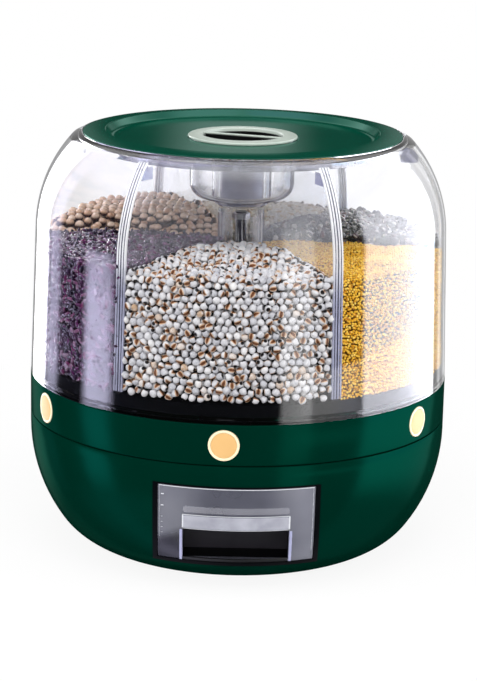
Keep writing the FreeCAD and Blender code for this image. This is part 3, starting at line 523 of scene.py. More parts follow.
def adlay():
    """White-grey grains with a brown crease and a dark eye."""
    f = Finish("adlay")
    husk = f.shades(
        f.grain(), (0.0, colour(194, 194, 198)), (0.3, colour(222, 221, 222)), (0.55, colour(182, 183, 189)),
        (0.8, colour(212, 211, 213)), (0.93, colour(232, 230, 228)), (1.0, colour(190, 158, 126)),
    )
    powder = f.noise(0.0016, 3)
    husk = f.blend(powder.ramp(0.40, 0.80, 0.0, 0.7), husk, colour(238, 237, 236))
    tan = f.blend(f.mark("crease").ramp(0.08, 0.30), husk, colour(208, 172, 138))
    brown = f.blend(f.mark("crease").ramp(0.34, 0.62), tan, colour(104, 58, 26))
    seed = f.blend(f.mark("eye").ramp(0.60, 0.85), brown, colour(20, 16, 16))
    return f.done(f.surface(
        base_color=f.with_gap_shade(seed, colour(26, 22, 22)), roughness=0.48, normal=powder.bump(0.2, 0.0003),
    ))


def dark_rice():
    """Black and purple rice, a little glossy, with painted highlights on the grains' pale tips."""
    f = Finish("dark_rice")
    tone = f.shades(
        f.grain(), (0.0, colour(18, 12, 30)), (0.3, colour(46, 22, 56)), (0.55, colour(78, 26, 74)),
        (0.72, colour(30, 22, 48)), (0.88, colour(96, 30, 74)), (1.0, colour(136, 114, 138)),
    )
    streak = f.noise(0.0008, 3)
    # pale tips: painted highlights where glints fall at the grains' ends
    tip = f.blend(f.mark("tip").ramp(0.55, 1.0), tone, colour(190, 178, 186))
    return f.done(f.surface(
        base_color=f.with_gap_shade(tip, colour(6, 4, 8)), roughness=streak * 0.15 + 0.14, coat_weight=1.0,
        coat_roughness=0.05, coat_ior=1.7, normal=streak.bump(0.05, 0.0002),
    ))


def soybean():
    f = Finish("soybean")
    tone = f.shades(
        f.grain(), (0.0, colour(220, 176, 142)), (0.4, colour(236, 200, 170)), (0.75, colour(244, 216, 192)),
        (1.0, colour(206, 156, 122)),
    )
    skin = f.noise(0.0022, 3)
    tone = f.blend(skin.ramp(0.45, 0.8), tone, colour(246, 222, 200))
    tone = f.blend(f.mark("crease").ramp(0.45, 0.8), tone, colour(122, 74, 44))
    return f.done(f.surface(
        base_color=f.with_gap_shade(tone, colour(58, 28, 16), 0.34, 0.74), roughness=0.26, coat_weight=0.4,
        normal=skin.bump(0.1, 0.0004),
    ))


def millet():
    f = Finish("millet")
    tone = f.shades(
        f.grain(), (0.0, colour(206, 142, 22)), (0.3, colour(232, 176, 40)), (0.7, colour(246, 200, 70)),
        (0.92, colour(250, 218, 110)), (1.0, colour(180, 112, 16)),
    )
    return f.done(f.surface(
        base_color=f.with_gap_shade(tone, colour(120, 70, 4), 0.30, 0.66), roughness=f.noise(0.0006) * 0.2 + 0.35,
    ))


def mixed_beans():
    """Dark green and black beans with some paler ones."""
    f = Finish("mixed_beans")
    tone = f.shades(
        f.grain(), (0.0, colour(24, 26, 22)), (0.35, colour(52, 60, 34)), (0.6, colour(30, 28, 28)),
        (0.75, colour(94, 52, 42)), (0.88, colour(150, 148, 140)), (1.0, colour(206, 202, 194)),
    )
    skin = f.noise(0.0015, 2)
    tone = f.blend(f.mark("crease").ramp(0.5, 0.85), tone, colour(214, 208, 196))
    return f.done(f.surface(
        base_color=f.with_gap_shade(tone, colour(6, 6, 5)), roughness=0.16, coat_weight=0.8,
        coat_roughness=0.06, coat_ior=1.8, normal=skin.bump(0.08, 0.0003),
    ))


def pale_rice():
    f = Finish("pale_rice")
    tone = f.shades(
        f.grain(), (0.0, colour(214, 204, 184)), (0.5, colour(228, 222, 206)), (0.9, colour(202, 182, 146)),
        (1.0, colour(184, 150, 110)),
    )
    streak = f.noise(0.0009, 3)
    return f.done(f.surface(
        base_color=f.with_gap_shade(tone, colour(90, 76, 56)), roughness=streak * 0.15 + 0.35,
        normal=streak.bump(0.1, 0.0002),
    ))


def shade_under(name, dark, light):
    """The heap's inside in dark colours: painted shade seen between its outer grains."""
    f = Finish(name)
    lump = f.node("ShaderNodeTexVoronoi", {}, {"Vector": f.place(), "Scale": 320.0})["Distance"]
    return f.done(f.surface(
        base_color=f.blend(lump.ramp(0.1, 0.8), light, dark), roughness=0.7,
        normal=(1.0 - lump).bump(0.6, 0.001),
    ))


LIGHTEST = colour(255, 255, 255)
GREEN = satin_green(
    "satin_green", colour(0, 33, 24), colour(0, 38, 28), (0.02, 1.0, 0.62, 1.0), (0.008, 0.009), 0.15,
)
# A lighter copy of the base's green plastic: painted light on the lid's upward faces.
LID_GREEN_LIT = satin_green(
    "lid_green_lit", colour(0, 58, 44), colour(0, 64, 48), (0.5, 1.0, 0.85, 1.0), (0.02, 0.22), 0.11,
)
CLEAR = clear_plastic()
CLEAR_INNER = thin_clear("clear_inner", colour(120, 122, 140), colour(236, 237, 246), 0.02, 0.6)
CUP_CLEAR = thin_clear("cup_clear", colour(62, 66, 112), LIGHTEST, 0.03, 0.92, rim=(0.54, 0.70))
WELL_CLEAR = thin_clear("well_clear", colour(66, 70, 122), LIGHTEST, 0.04, 0.92, rim=(0.56, 0.72))
TUBE_CLEAR = thin_clear("tube_clear", colour(86, 87, 112), LIGHTEST, 0.0, 0.80, 0.24, (0.56, 0.72))
PLATE_CLEAR = thin_clear("plate_clear", colour(170, 172, 186), colour(226, 228, 236), 0.01, 0.35)
CORNER_CLEAR = thin_clear("corner_clear", colour(72, 76, 116), colour(130, 134, 176), 0.50, 0.80)
PAINTED_LIGHT_LINE = painted_channel_line("channel_painted_highlight", colour(176, 178, 200), LIGHTEST, 0.85)
PAINTED_DARK_LINE = painted_channel_line("channel_painted_dark", colour(58, 60, 84), colour(92, 96, 116), 0.66)
PLUG_CLEAR = thin_clear("plug_clear", colour(80, 84, 106), colour(158, 162, 182), 0.50, 0.80, 0.22)
SILICONE = thin_clear("clear_silicone", colour(196, 197, 206), colour(226, 227, 234), 0.35, 0.6)
SMOKY = smoky_plastic()
BLACK = black_plastic()
DISH = dish_black()
CREAM = plain_plastic("cap_cream", colour(158, 170, 160), colour(178, 187, 178), 0.26)
BUTTON_FACE = plain_plastic("button_orange", colour(216, 170, 106), colour(224, 180, 118), 0.40)
BUTTON_RIM = plain_plastic("button_cream", colour(236, 218, 178), colour(244, 228, 196), 0.30)
GREY = plain_plastic("guide_grey", colour(84, 86, 88), colour(104, 106, 108), 0.45)
WHITE = plain_plastic("bearing_white", colour(208, 208, 204), colour(226, 226, 222), 0.40)
# white for the level marks, and for painted highlight lines on the drawer front
MARK_AND_HIGHLIGHT_WHITE = plain_plastic("mark_and_highlight_white", colour(196, 198, 206), colour(226, 228, 232), 0.40)
CARTRIDGE = plain_plastic("cartridge_dark", colour(92, 93, 112), colour(170, 172, 192), 0.35)
ROD = plain_plastic("spindle_dark", colour(30, 29, 38), colour(50, 48, 60), 0.3)
PULL_CLEAR = plain_plastic("pull_clear", colour(132, 133, 146), colour(190, 191, 202), 0.12)
# painted highlight on the pull's side edges
PULL_EDGE_HIGHLIGHT = plain_plastic("pull_edge_highlight", colour(150, 152, 190), colour(190, 192, 222), 0.15)
PULL_HAZE = thin_clear("pull_haze", colour(196, 196, 208), colour(214, 214, 224), 0.22, 0.4)
# painted shade inside the finger recess, and on its back wall
PULL_SHADE = plain_plastic("pull_shade_black", colour(2, 2, 3), colour(6, 6, 7), 0.4)
PULL_BACK = plain_plastic("pull_back", colour(44, 42, 49), colour(58, 56, 64), 0.4)
STEEL = steel()
RUBBER = soft_rubber()


# Mesh writing

def put(name, data):
    """A new object in the scene."""
    thing = bpy.data.objects.new(name, data)
    bpy.context.scene.collection.objects.link(thing)
    return thing


def give(name, mesh, material, body, slot, *nodes):
    """Puts a finished mesh on its body, with its material, in place of the CAD nodes named."""
    mesh.name = name
    piece = put(name, mesh)
    mesh.materials.clear()
    mesh.materials.append(material)
    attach(piece, body)
    if nodes:
        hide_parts(*nodes)
    return piece


def smooth(mesh):
    mesh.polygons.foreach_set("use_smooth", np.ones(len(mesh.polygons), bool))
    mesh.set_sharp_from_angle(angle=SHARP)
    return mesh


def meshed(work):
    """A mesh from a finished bmesh."""
    mesh = bpy.data.meshes.new("shape")
    work.to_mesh(mesh)
    work.free()
    return mesh


def mesh_of(points, faces):
    """A mesh in metres from points in millimetres, with doubled points joined."""
    raw = bpy.data.meshes.new("raw")
    raw.from_pydata((np.asarray(points) * SCALE).tolist(), [], [list(face) for face in faces])
    work = bmesh.new()
    work.from_mesh(raw)
    bpy.data.meshes.remove(raw)
    bmesh.ops.remove_doubles(work, verts=work.verts, dist=DOUBLED)
    bmesh.ops.dissolve_degenerate(work, edges=work.edges, dist=DOUBLED)
    bmesh.ops.recalc_face_normals(work, faces=work.faces)
    return smooth(meshed(work))


def tube_faces(rings, around):
    """Faces of a closed tube of rings, with its two ends."""
    faces = []
    for j in range(rings - 1):
        for i in range(around):
            k = (i + 1) % around
            faces.append((j * around + i, j * around + k, (j + 1) * around + k, (j + 1) * around + i))
    last = (rings - 1) * around
    return faces + [tuple(range(around)), tuple(reversed(range(last, last + around)))]


def slab_faces(rows, columns):
    """Faces of a slab: a grid of points, the same grid again behind it, and the edge between them."""
    behind = rows * columns
    faces = []
    for i in range(rows - 1):
        for j in range(columns - 1):
            a = i * columns + j
            b = a + columns
            faces.append((a, b, b + 1, a + 1))
            faces.append((behind + a, behind + a + 1, behind + b + 1, behind + b))
    edge = list(range(columns)) + [i * columns + columns - 1 for i in range(1, rows)]
    edge += [(rows - 1) * columns + j for j in range(columns - 2, -1, -1)]
    edge += [i * columns for i in range(rows - 2, 0, -1)]
    return faces + [(a, b, behind + b, behind + a) for a, b in zip(edge, edge[1:] + edge[:1])]


def arc(centre, radius, start, end, steps):
    """Points (radius, height) on an arc; degrees count up from the outward direction."""
    turns = np.radians(np.linspace(start, end, steps + 1))
    return [(centre[0] + radius * math.cos(t), centre[1] + radius * math.sin(t)) for t in turns]


def rounded(corners, steps=4):
    """Points of a closed outline of (r, z) corners, rounded where a third number says."""
    points = []
    count = len(corners)
    for i, corner in enumerate(corners):
        here = Vector(corner[:2])
        if len(corner) < 3:
            points.append(tuple(here))
            continue
        to_before = (Vector(corners[i - 1][:2]) - here).normalized()
        to_after = (Vector(corners[(i + 1) % count][:2]) - here).normalized()
        half = to_before.angle(to_after) / 2
        reach = corner[2] / math.tan(half)
        centre = here + (to_before + to_after).normalized() * (corner[2] / math.sin(half))
        start = (here + to_before * reach - centre).normalized()
        end = (here + to_after * reach - centre).normalized()
        for step in range(steps + 1):
            points.append(tuple(centre + start.slerp(end, step / steps) * corner[2]))
    return points


def turned(outline, count=SMOOTH_TURN):
    """A closed outline of (r, z) points, turned about the Z axis."""
    outline = np.asarray(outline)
    turns = np.linspace(0, 2 * np.pi, count, endpoint=False)
    points = np.stack([
        np.outer(np.sin(turns), outline[:, 0]), -np.outer(np.cos(turns), outline[:, 0]),
        np.tile(outline[:, 1], (count, 1)),
    ], -1).reshape(-1, 3)
    size = len(outline)
    i, j = np.meshgrid(np.arange(count), np.arange(size), indexing="ij")
    i_next, j_next = (i + 1) % count, (j + 1) % size
    faces = np.stack([i * size + j, i_next * size + j, i_next * size + j_next, i * size + j_next], -1)
    return mesh_of(points, faces.reshape(-1, 4))


def box_mesh(x, y, z, rounding=0.0, steps=3):
    """A block with rounded edges, from (low, high) pairs in millimetres."""
    work = bmesh.new()
    bmesh.ops.create_cube(work, size=1.0)
    for vert in work.verts:
        unit = vert.co + Vector((0.5, 0.5, 0.5))
        vert.co = Vector([pair[0] + (pair[1] - pair[0]) * u for pair, u in zip((x, y, z), unit)]) * SCALE
    if rounding:
        size = rounding * SCALE
        bmesh.ops.bevel(work, geom=work.edges[:], offset=size, segments=steps, profile=0.5, affect="EDGES")
    return smooth(meshed(work))


def swing(mesh, degrees):
    mesh.transform(Matrix.Rotation(math.radians(degrees), 4, "Z"))
    return mesh


def joined(meshes):
    """One mesh from several."""
    work = bmesh.new()
    for mesh in meshes:
        work.from_mesh(mesh)
    return smooth(meshed(work))


def carved(mesh, cutter):
    """The mesh less the cutter."""
    target, other = put("carving", mesh), put("cutter", cutter)
    modifier = target.modifiers.new("cut", "BOOLEAN")
    modifier.operation = "DIFFERENCE"
    modifier.solver = "EXACT"
    modifier.object = other
    bpy.context.view_layer.update()
    result = bpy.data.meshes.new_from_object(target.evaluated_get(bpy.context.evaluated_depsgraph_get()))
    bpy.data.objects.remove(other)
    bpy.data.objects.remove(target)
    return smooth(result)


def round_rod(radius, y, z):
    """A rod along the Y axis."""
    work = bmesh.new()
    turn = Matrix.Rotation(math.radians(90), 4, "X")
    shift = Matrix.Translation(Vector((0, (y[0] + y[1]) / 2, z)) * SCALE)
    bmesh.ops.create_cone(
        work, cap_ends=True, segments=64, radius1=radius * SCALE, radius2=radius * SCALE,
        depth=(y[1] - y[0]) * SCALE, matrix=shift @ turn,
    )
    return meshed(work)


def sector_angle(i):
    """Degrees from the drawer's middle to a compartment's middle, counted from 0 at the front."""
    return ROTOR_PHASE + SECTOR * i


def in_sectors(make):
    """One mesh of six, each made new and turned to its compartment."""
    return joined([swing(make(), sector_angle(i)) for i in range(SECTORS)])


# Outlines

def bowl_curve(inset=0.0):
    """The base's side from BOWL_START_Z down to its flat bottom."""
    turn = math.radians(BOWL_TURN)
    centre_1 = (RING_R - BOWL_R, BOWL_START_Z)
    join = (centre_1[0] + BOWL_R * math.cos(turn), BOWL_START_Z - BOWL_R * math.sin(turn))
    lower_r = (join[1] - BASE_BOTTOM_Z) / (1 - math.sin(turn))
    centre_2 = (join[0] - lower_r * math.cos(turn), BASE_BOTTOM_Z + lower_r)
    upper = arc(centre_1, BOWL_R - inset, 0, -BOWL_TURN, BOWL_STEPS[0])
    return upper + arc(centre_2, lower_r - inset, -BOWL_TURN, -90, BOWL_STEPS[1])[1:]


def dome_curve(inset, bottom_z, top_z):
    """The dome's side and shoulder from bottom_z up to a height on the shoulder."""
    run = DOME_ARC_START[1] - RING_Z[1]
    lean = math.atan2(DOME_BASE_R - DOME_ARC_START[0], run)
    start_r, start_z = DOME_ARC_START
    centre = (start_r - DOME_ARC_R * math.cos(lean), start_z - DOME_ARC_R * math.sin(lean))
    radius = DOME_ARC_R - inset
    end = math.asin((top_z - centre[1]) / radius)
    shoulder = arc(centre, radius, math.degrees(lean), math.degrees(end), DOME_STEPS)
    foot = (shoulder[0][0] + (shoulder[0][1] - bottom_z) * math.tan(lean), bottom_z)
    return [foot] + shoulder


def dome_inside(height):
    """The dome's inner radius at a height."""
    curve = dome_curve(DOME_WALL, RING_Z[1], STEP_Z - STEP_T)
    return np.interp(height, [p[1] for p in curve], [p[0] for p in curve])


def floor_height(radius):
    slope = (FLOOR_CENTRE_Z - FLOOR_EDGE_Z) / (FLOOR_R - FLOOR_SEAT_R)
    return FLOOR_CENTRE_Z - (radius - FLOOR_SEAT_R) * slope


# Green outside

def make_base():
    outer = [(RING_R - inset, BASE_TOP_Z - drop) for inset, drop in BASE_TOP_EDGE] + bowl_curve()
    inner = bowl_curve(BASE_WALL)
    inner_side = inner[0][0]
    outline = outer + [(COVER_R, BASE_BOTTOM_Z), (COVER_R, BASE_BOTTOM_Z + BASE_WALL)] + inner[::-1] + [
        (inner_side, LEDGE_Z[0]), (LEDGE_R, LEDGE_Z[0]), (LEDGE_R, LEDGE_Z[1]), (inner_side, LEDGE_Z[1]),
        (inner_side, BASE_TOP_Z),
    ]
    window = box_mesh((-WINDOW_HALF_W, WINDOW_HALF_W), WINDOW_Y, WINDOW_Z)
    shell = carved(turned(outline), window)
    give("base_shell_skin", shell, GREEN, "base", "green_plastic", "base_shell")


def make_ring():
    """The ring with its button holes, and the flange under it with room for the gates."""
    wall_in = RING_R - RING_WALL
    ring = turned(rounded([
        (wall_in, RING_Z[0]), (RING_R, RING_Z[0], RING_ROUNDING[0]), (RING_R, RING_Z[1], RING_ROUNDING[1]),
        (wall_in, RING_Z[1]),
    ]), WIDE_TURN)
    holes = in_sectors(lambda: round_rod(BUTTON_HOLE_R, BUTTON_HOLE_Y, BUTTON_Z))
    top = PLATE_TOP_Z + FLANGE_T
    flange = turned([(wall_in, PLATE_TOP_Z), (wall_in, top), (FLANGE_R, top), (FLANGE_R, PLATE_TOP_Z)], 120)
    room_z = (PLATE_TOP_Z - 1, BUTTON_Z)
    rooms = in_sectors(lambda: box_mesh((-GATE_ROOM_HALF_W, GATE_ROOM_HALF_W), GATE_ROOM_Y, room_z))
    skin = joined([carved(ring, holes), carved(flange, rooms)])
    give("button_ring_skin", skin, GREEN, "rotor", "green_plastic", "button_ring")


def button_disc(profile):
    """A button's face: (radius, depth behind the ring's surface) points, bent to the ring's curve."""
    count = 96
    turns = np.linspace(0, 2 * np.pi, count, endpoint=False)
    points = []
    for radius, depth in profile:
        x = radius * np.cos(turns)
        y = -np.sqrt(RING_R ** 2 - x ** 2) + depth
        points.append(np.stack([x, y, BUTTON_Z + radius * np.sin(turns)], -1))
    return mesh_of(np.concatenate(points), tube_faces(len(profile), count))


def make_buttons():
    """Each button is a round face in a raised rim; both stand a little proud of the ring."""
    face_r, rim_in = BUTTON_FACE_R, BUTTON_FACE_R + 0.02
    face_profile = [
        (2.0, -0.18), (5.0, -0.18), (face_r - 0.5, -0.16), (face_r - 0.1, -0.08), (face_r, 0.3),
        (face_r, 2.0),
    ]
    rim_profile = [
        (rim_in, 2.0), (rim_in, 0.0), (face_r + 0.25, -0.25), (face_r + 0.6, -0.36), (BUTTON_R - 0.6, -0.36),
        (BUTTON_R - 0.2, -0.2), (BUTTON_R, 0.25), (BUTTON_R, BUTTON_RIM_DEPTH),
    ]
    for i in range(SECTORS):
        number = i + 1
        face, rim = (swing(button_disc(profile), sector_angle(i)) for profile in (face_profile, rim_profile))
        give(f"button_face_{number}", face, BUTTON_FACE, f"button_{number}", "button_plastic")
        give(f"button_rim_{number}", rim, BUTTON_RIM, f"button_{number}", "button_plastic",
             f"button_cap_{number}")


# Clear upper part

def make_dome():
    under_step = STEP_Z - STEP_T
    lip_z = DOME_LIP_Z - 0.2
    foot_z = RING_Z[1] + DOME_SEAT
    outer = dome_curve(0, foot_z, DOME_SHOULDER_TOP_Z)
    inner = dome_curve(DOME_WALL, RING_Z[1] + DOME_WALL_FOOT, under_step)
    lip = [
        (STEP_R + 0.5, lip_z), (STEP_R, lip_z), (STEP_R, STEP_Z), (MOUTH_R, STEP_Z), (MOUTH_R, MOUTH_Z),
        (MOUTH_R + MOUTH_WALL, MOUTH_Z), (MOUTH_R + MOUTH_WALL, under_step),
    ]
    spigot_in = SPIGOT_R - SPIGOT_WALL
    foot = [(spigot_in, RING_Z[1] + 2), (spigot_in, SPIGOT_Z), (SPIGOT_R, SPIGOT_Z), (SPIGOT_R, foot_z)]
    dome = turned(outer + lip + inner[::-1] + foot, WIDE_TURN)
    give("dome_clear", dome, CLEAR, "rotor", "clear_plastic", "dome_shell")


def edge_strip(offset, width, depth, low_z, high_z):
    """An upright strip inside the dome's wall, beside the line that points to -Y."""
    heights = np.linspace(low_z, high_z, 40)
    wall = dome_inside(heights)
    points = []
    for u in (offset - width / 2, offset + width / 2):
        reach = np.sqrt(wall ** 2 - u ** 2)
        for r in (reach - STRIP_PLAY, reach - STRIP_PLAY - depth):
            points.append(np.stack([np.full_like(r, u), -r, heights], -1))
    count = len(heights)
    faces = []
    for a, b in ((0, 1), (1, 3), (3, 2), (2, 0)):
        for i in range(count - 1):
            faces.append((a * count + i, b * count + i, b * count + i + 1, a * count + i + 1))
    faces.append((0, count, 3 * count, 2 * count))
    faces.append((count - 1, 2 * count - 1, 4 * count - 1, 3 * count - 1))
    return mesh_of(np.concatenate(points), faces)


def make_channels():
    """The channels that hold the dividers show as painted highlight lines and painted dark lines in place of
    their clear edges' refraction.
    """
    top_r = float(dome_inside(DIVIDER_TOP_Z))
    corner_y = (-top_r + 1, -top_r + 1 + CORNER_LENGTH)
    light, dark, corners = [], [], []
    for i in range(SECTORS):
        angle = sector_angle(i) + SECTOR / 2
        for place in LIGHT_LINES:
            light.append(swing(edge_strip(place, LIGHT_LINE_W, LIGHT_LINE_DEPTH, *CHANNEL_Z), angle))
        for place, width in DARK_LINES:
            dark.append(swing(edge_strip(place, width, DARK_LINE_DEPTH, *CHANNEL_Z), angle))
        for x in ((-CORNER_X[1], -CORNER_X[0]), CORNER_X):
            corners.append(swing(box_mesh(x, corner_y, CORNER_Z), angle))
    give("channel_light_lines", joined(light), PAINTED_LIGHT_LINE, "rotor", "clear_plastic", "divider_channels")
    give("channel_dark_lines", joined(dark), PAINTED_DARK_LINE, "rotor", "clear_plastic")
    give("channel_corners", joined(corners), CORNER_CLEAR, "rotor", "clear_plastic")


def make_tube():
    inner_r = TUBE_R - TUBE_WALL
    tube = turned(rounded([
        (inner_r, TUBE_Z[0]), (TUBE_R, TUBE_Z[0]), (TUBE_R, TUBE_Z[1], TUBE_ROUNDING),
        (inner_r, TUBE_Z[1], TUBE_ROUNDING),
    ]), 96)
    give("centre_tube_clear", tube, TUBE_CLEAR, "rotor", "clear_plastic", "centre_tube")


def make_plug():
    inner_r, top_z = PLUG_R - PLUG_WALL, LID_TOP_Z - LID_T
    plug = turned(rounded([
        (inner_r, PLUG_Z, PLUG_ROUNDING), (PLUG_R, PLUG_Z, PLUG_ROUNDING), (PLUG_R, top_z), (inner_r, top_z),
    ]))
    give("lid_plug_clear", plug, PLUG_CLEAR, "lid", "clear_plastic", "lid_plug")


def make_cup():
    """The moisture box: a cup that hangs in the lid, and a well in its middle."""
    inner_r = CUP_R - CUP_WALL
    floor = CUP_BOTTOM_Z + CUP_WALL
    flange_z = LID_PANEL_Z - CUP_FLANGE_T
    cup = turned(rounded([
        (WELL_R, CUP_BOTTOM_Z), (CUP_R, CUP_BOTTOM_Z, CUP_CORNER_R), (CUP_R, flange_z),
        (CUP_FLANGE_R, flange_z), (CUP_FLANGE_R, LID_PANEL_Z), (inner_r, LID_PANEL_Z),
        (inner_r, floor, CUP_CORNER_R - CUP_WALL), (WELL_R, floor),
    ], 10), NARROW_TURN)
    give("moisture_cup_clear", cup, CUP_CLEAR, "moisture_box", "clear_plastic", "desiccant_cup")
    well_in, well_floor = WELL_R - WELL_WALL, WELL_BOTTOM_Z + CUP_WALL
    well = turned(rounded([
        (0, WELL_BOTTOM_Z), (WELL_R - 4.0, WELL_BOTTOM_Z, 2.0), (WELL_R, CUP_BOTTOM_Z - 0.6, 2.0),
        (WELL_R, WELL_TOP_Z), (well_in, WELL_TOP_Z), (well_in, well_floor), (0, well_floor),
    ], 6), NARROW_TURN)
    give("moisture_well_clear", well, WELL_CLEAR, "moisture_box", "clear_plastic", "desiccant_well")


# Lid and its cap

def make_lid():
    under = LID_PANEL_Z - LID_T
    under_rim = LID_TOP_Z - LID_T
    flange_z = LID_PANEL_Z - CUP_FLANGE_T
    hole, rebate = CUP_R + LID_PLAY, CUP_FLANGE_R + LID_PLAY
    lid = turned(rounded([
        (hole, under), (hole, flange_z), (rebate, flange_z), (rebate, LID_PANEL_Z - 0.3),
        (rebate + 1.2, LID_PANEL_Z, 0.6), (LID_PANEL_R, LID_PANEL_Z, 5.0), (LID_RIM_IN_R, LID_TOP_Z, 1.6),
        (LID_R, LID_TOP_Z - 1.4, 0.5), (LID_R, under_rim), (LID_RIM_IN_R + 1, under_rim),
        (LID_PANEL_R + 1.5, under, 3.0),
    ], 8), WIDE_TURN)
    give("lid_dished", lid, LID_GREEN_LIT, "lid", "green_plastic", "lid_cover")


def make_cap():
    """The twist cap: a ring with a grip bar across it, over a dark dish."""
    under = LID_PANEL_Z + 0.2
    ring = turned(rounded([
        (CAP_RECESS_R, CAP_PLUG_Z), (CAP_PLUG_R, CAP_PLUG_Z, 0.5), (CAP_PLUG_R, under), (CAP_R, under),
        (CAP_R, CAP_TOP_Z - 0.5, 1.0), (CAP_RECESS_R + 0.4, CAP_TOP_Z, 1.4), (CAP_RECESS_R, CAP_TOP_Z - 2.4),
    ], 6), NARROW_TURN)
    bar_end, half = CAP_RECESS_R + 0.9, CAP_BAR_HALF_W
    bar_z = tuple(CAP_TOP_Z - drop for drop in CAP_BAR_DROP)
    bar = box_mesh((-bar_end, bar_end), (-half, half), bar_z, 0.5, 4)
    skin = joined([ring, swing(bar, CAP_BAR_ANGLE)])
    give("cap_ring_skin", skin, CREAM, "twist_cap", "cream_plastic", "cap_ring")
    dish_in, dish_floor = CAP_DISH_R - CAP_DISH_WALL, CAP_FLOOR_Z + CAP_FLOOR_T
    dish_rim = CAP_TOP_Z - CAP_DISH_DROP
    dish = turned(rounded([
        (0, CAP_FLOOR_Z), (CAP_DISH_R, CAP_FLOOR_Z), (CAP_DISH_R, dish_rim), (dish_in, dish_rim),
        (dish_in, dish_floor, 2.5), (0, dish_floor),
    ], 6), NARROW_TURN)
    web_end, web_half = CAP_RECESS_R - 1, half - 0.3
    web = box_mesh((-web_end, web_end), (-web_half, web_half), (CAP_FLOOR_Z + 5, CAP_TOP_Z - 1.9))
    dish = joined([dish, swing(web, CAP_BAR_ANGLE)])
    give("cap_dish_skin", dish, DISH, "twist_cap", "black_plastic", "cap_dish")


# Return springs

def pipe(centre, radius, around):
    """A round tube along a line of points, with closed ends."""
    ahead = np.gradient(centre, axis=0)
    ahead /= np.linalg.norm(ahead, axis=1)[:, None]
    across = np.cross(ahead, (0.0, 1.0, 0.0))
    across /= np.linalg.norm(across, axis=1)[:, None]
    up = np.cross(across, ahead)
    turns = np.linspace(0, 2 * np.pi, around, endpoint=False)
    ring = across[:, None] * np.cos(turns)[None, :, None] + up[:, None] * np.sin(turns)[None, :, None]
    points = (centre[:, None] + ring * radius).reshape(-1, 3)
    return mesh_of(points, tube_faces(len(centre), around))


def make_springs():
    """Each spring stands between its post and its button's heel."""
    start = SPRING_POST_R + SPRING_WIRE_R + SPRING_PLAY
    length = SPRING_END_R - SPRING_POST_R - 2 * (SPRING_WIRE_R + SPRING_PLAY)
    line = np.linspace(0, 1, SPRING_TURNS * 24 + 1)
    turns = line * SPRING_TURNS * 2 * np.pi
    centre = np.stack([
        SPRING_R * np.cos(turns), -start - length * line, SPRING_Z + SPRING_R * np.sin(turns),
    ], -1)
    for i in range(SECTORS):
        coil = swing(pipe(centre, SPRING_WIRE_R, 8), sector_angle(i))
        piece = give(f"spring_coil_{i + 1}", coil, STEEL, "rotor", "steel", f"return_spring_{i + 1}")
        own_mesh(piece)


# Grains: each kind is one small mesh, set down thousands of times

def grain_shape(sizes, around, up, crease=0.0, eye=0.0):
    """A seed's points, faces and marks. Sizes are half lengths; the long one runs along X."""
    points = [(1.0, 0.0, 0.0)]
    for j in range(1, up):
        fall = math.pi * j / up
        for i in range(around):
            turn = 2 * math.pi * i / around
            points.append((math.cos(fall), math.sin(fall) * math.cos(turn), math.sin(fall) * math.sin(turn)))
    points.append((-1.0, 0.0, 0.0))
    points = np.array(points)
    side = np.arctan2(points[:, 1], points[:, 2])
    middle = np.sqrt(np.clip(1 - points[:, 0] ** 2, 0, 1))
    groove = np.exp(-(side / 0.5) ** 2) * middle
    hole = np.exp(-((points[:, 0] - 1.0) / 0.35) ** 2)
    shaped = points * np.array(sizes)
    shaped[:, 2] -= groove * crease
    shaped[:, 0] -= hole * eye
    faces = []
    for i in range(around):
        k = (i + 1) % around
        faces.append((0, 1 + i, 1 + k))
        for j in range(up - 2):
            a, b = 1 + j * around, 1 + (j + 1) * around
            faces.append((a + i, b + i, b + k, a + k))
        last = 1 + (up - 2) * around
        faces.append((len(points) - 1, last + k, last + i))
    marks = {"crease": groove * (crease > 0), "eye": hole * (eye > 0), "tip": np.abs(points[:, 0]) ** 6}
    return shaped, faces, marks


def set_down(name, shape, places, normals, frames, sizes, material):
    """One mesh of all grains. Frames hold each grain's three axes as columns. The mesh carries each
    point's height out of the heap, which the materials turn into painted shade, and the shape's marks."""
    points, faces, marks = shape
    count = len(places)
    from_middle = np.einsum("nij,pj->npi", frames, points) * sizes[:, None, None]
    where = from_middle + places[:, None]
    rise = np.einsum("npi,ni->np", from_middle, normals)
    height = 0.5 + 0.5 * rise / np.abs(rise).max(1)[:, None]
    lengths = np.array([len(face) for face in faces])
    corners = np.concatenate([np.array(face) for face in faces])
    loops = (corners[None, :] + (np.arange(count) * len(points))[:, None]).ravel()
    mesh = bpy.data.meshes.new(name)
    mesh.vertices.add(count * len(points))
    mesh.vertices.foreach_set("co", (where * SCALE).astype(np.float32).ravel())
    mesh.loops.add(len(loops))
    mesh.loops.foreach_set("vertex_index", loops.astype(np.int32))
    totals = np.tile(lengths, count)
    mesh.polygons.add(len(totals))
    mesh.polygons.foreach_set("loop_start", np.concatenate([[0], np.cumsum(totals)[:-1]]).astype(np.int32))
    mesh.polygons.foreach_set("use_smooth", np.ones(len(totals), bool))
    mesh.update(calc_edges=True)
    for key, values in marks.items():
        if values.max() > 0:
            layer = mesh.attributes.new(key, "FLOAT", "POINT")
            layer.data.foreach_set("value", np.tile(values, count).astype(np.float32))
    # the height out of the heap drives the materials' painted shade between grains
    layer = mesh.attributes.new("height", "FLOAT", "POINT")
    layer.data.foreach_set("value", height.astype(np.float32).ravel())
    mesh.validate()
    give(name, mesh, material, "rotor", "white_plastic")


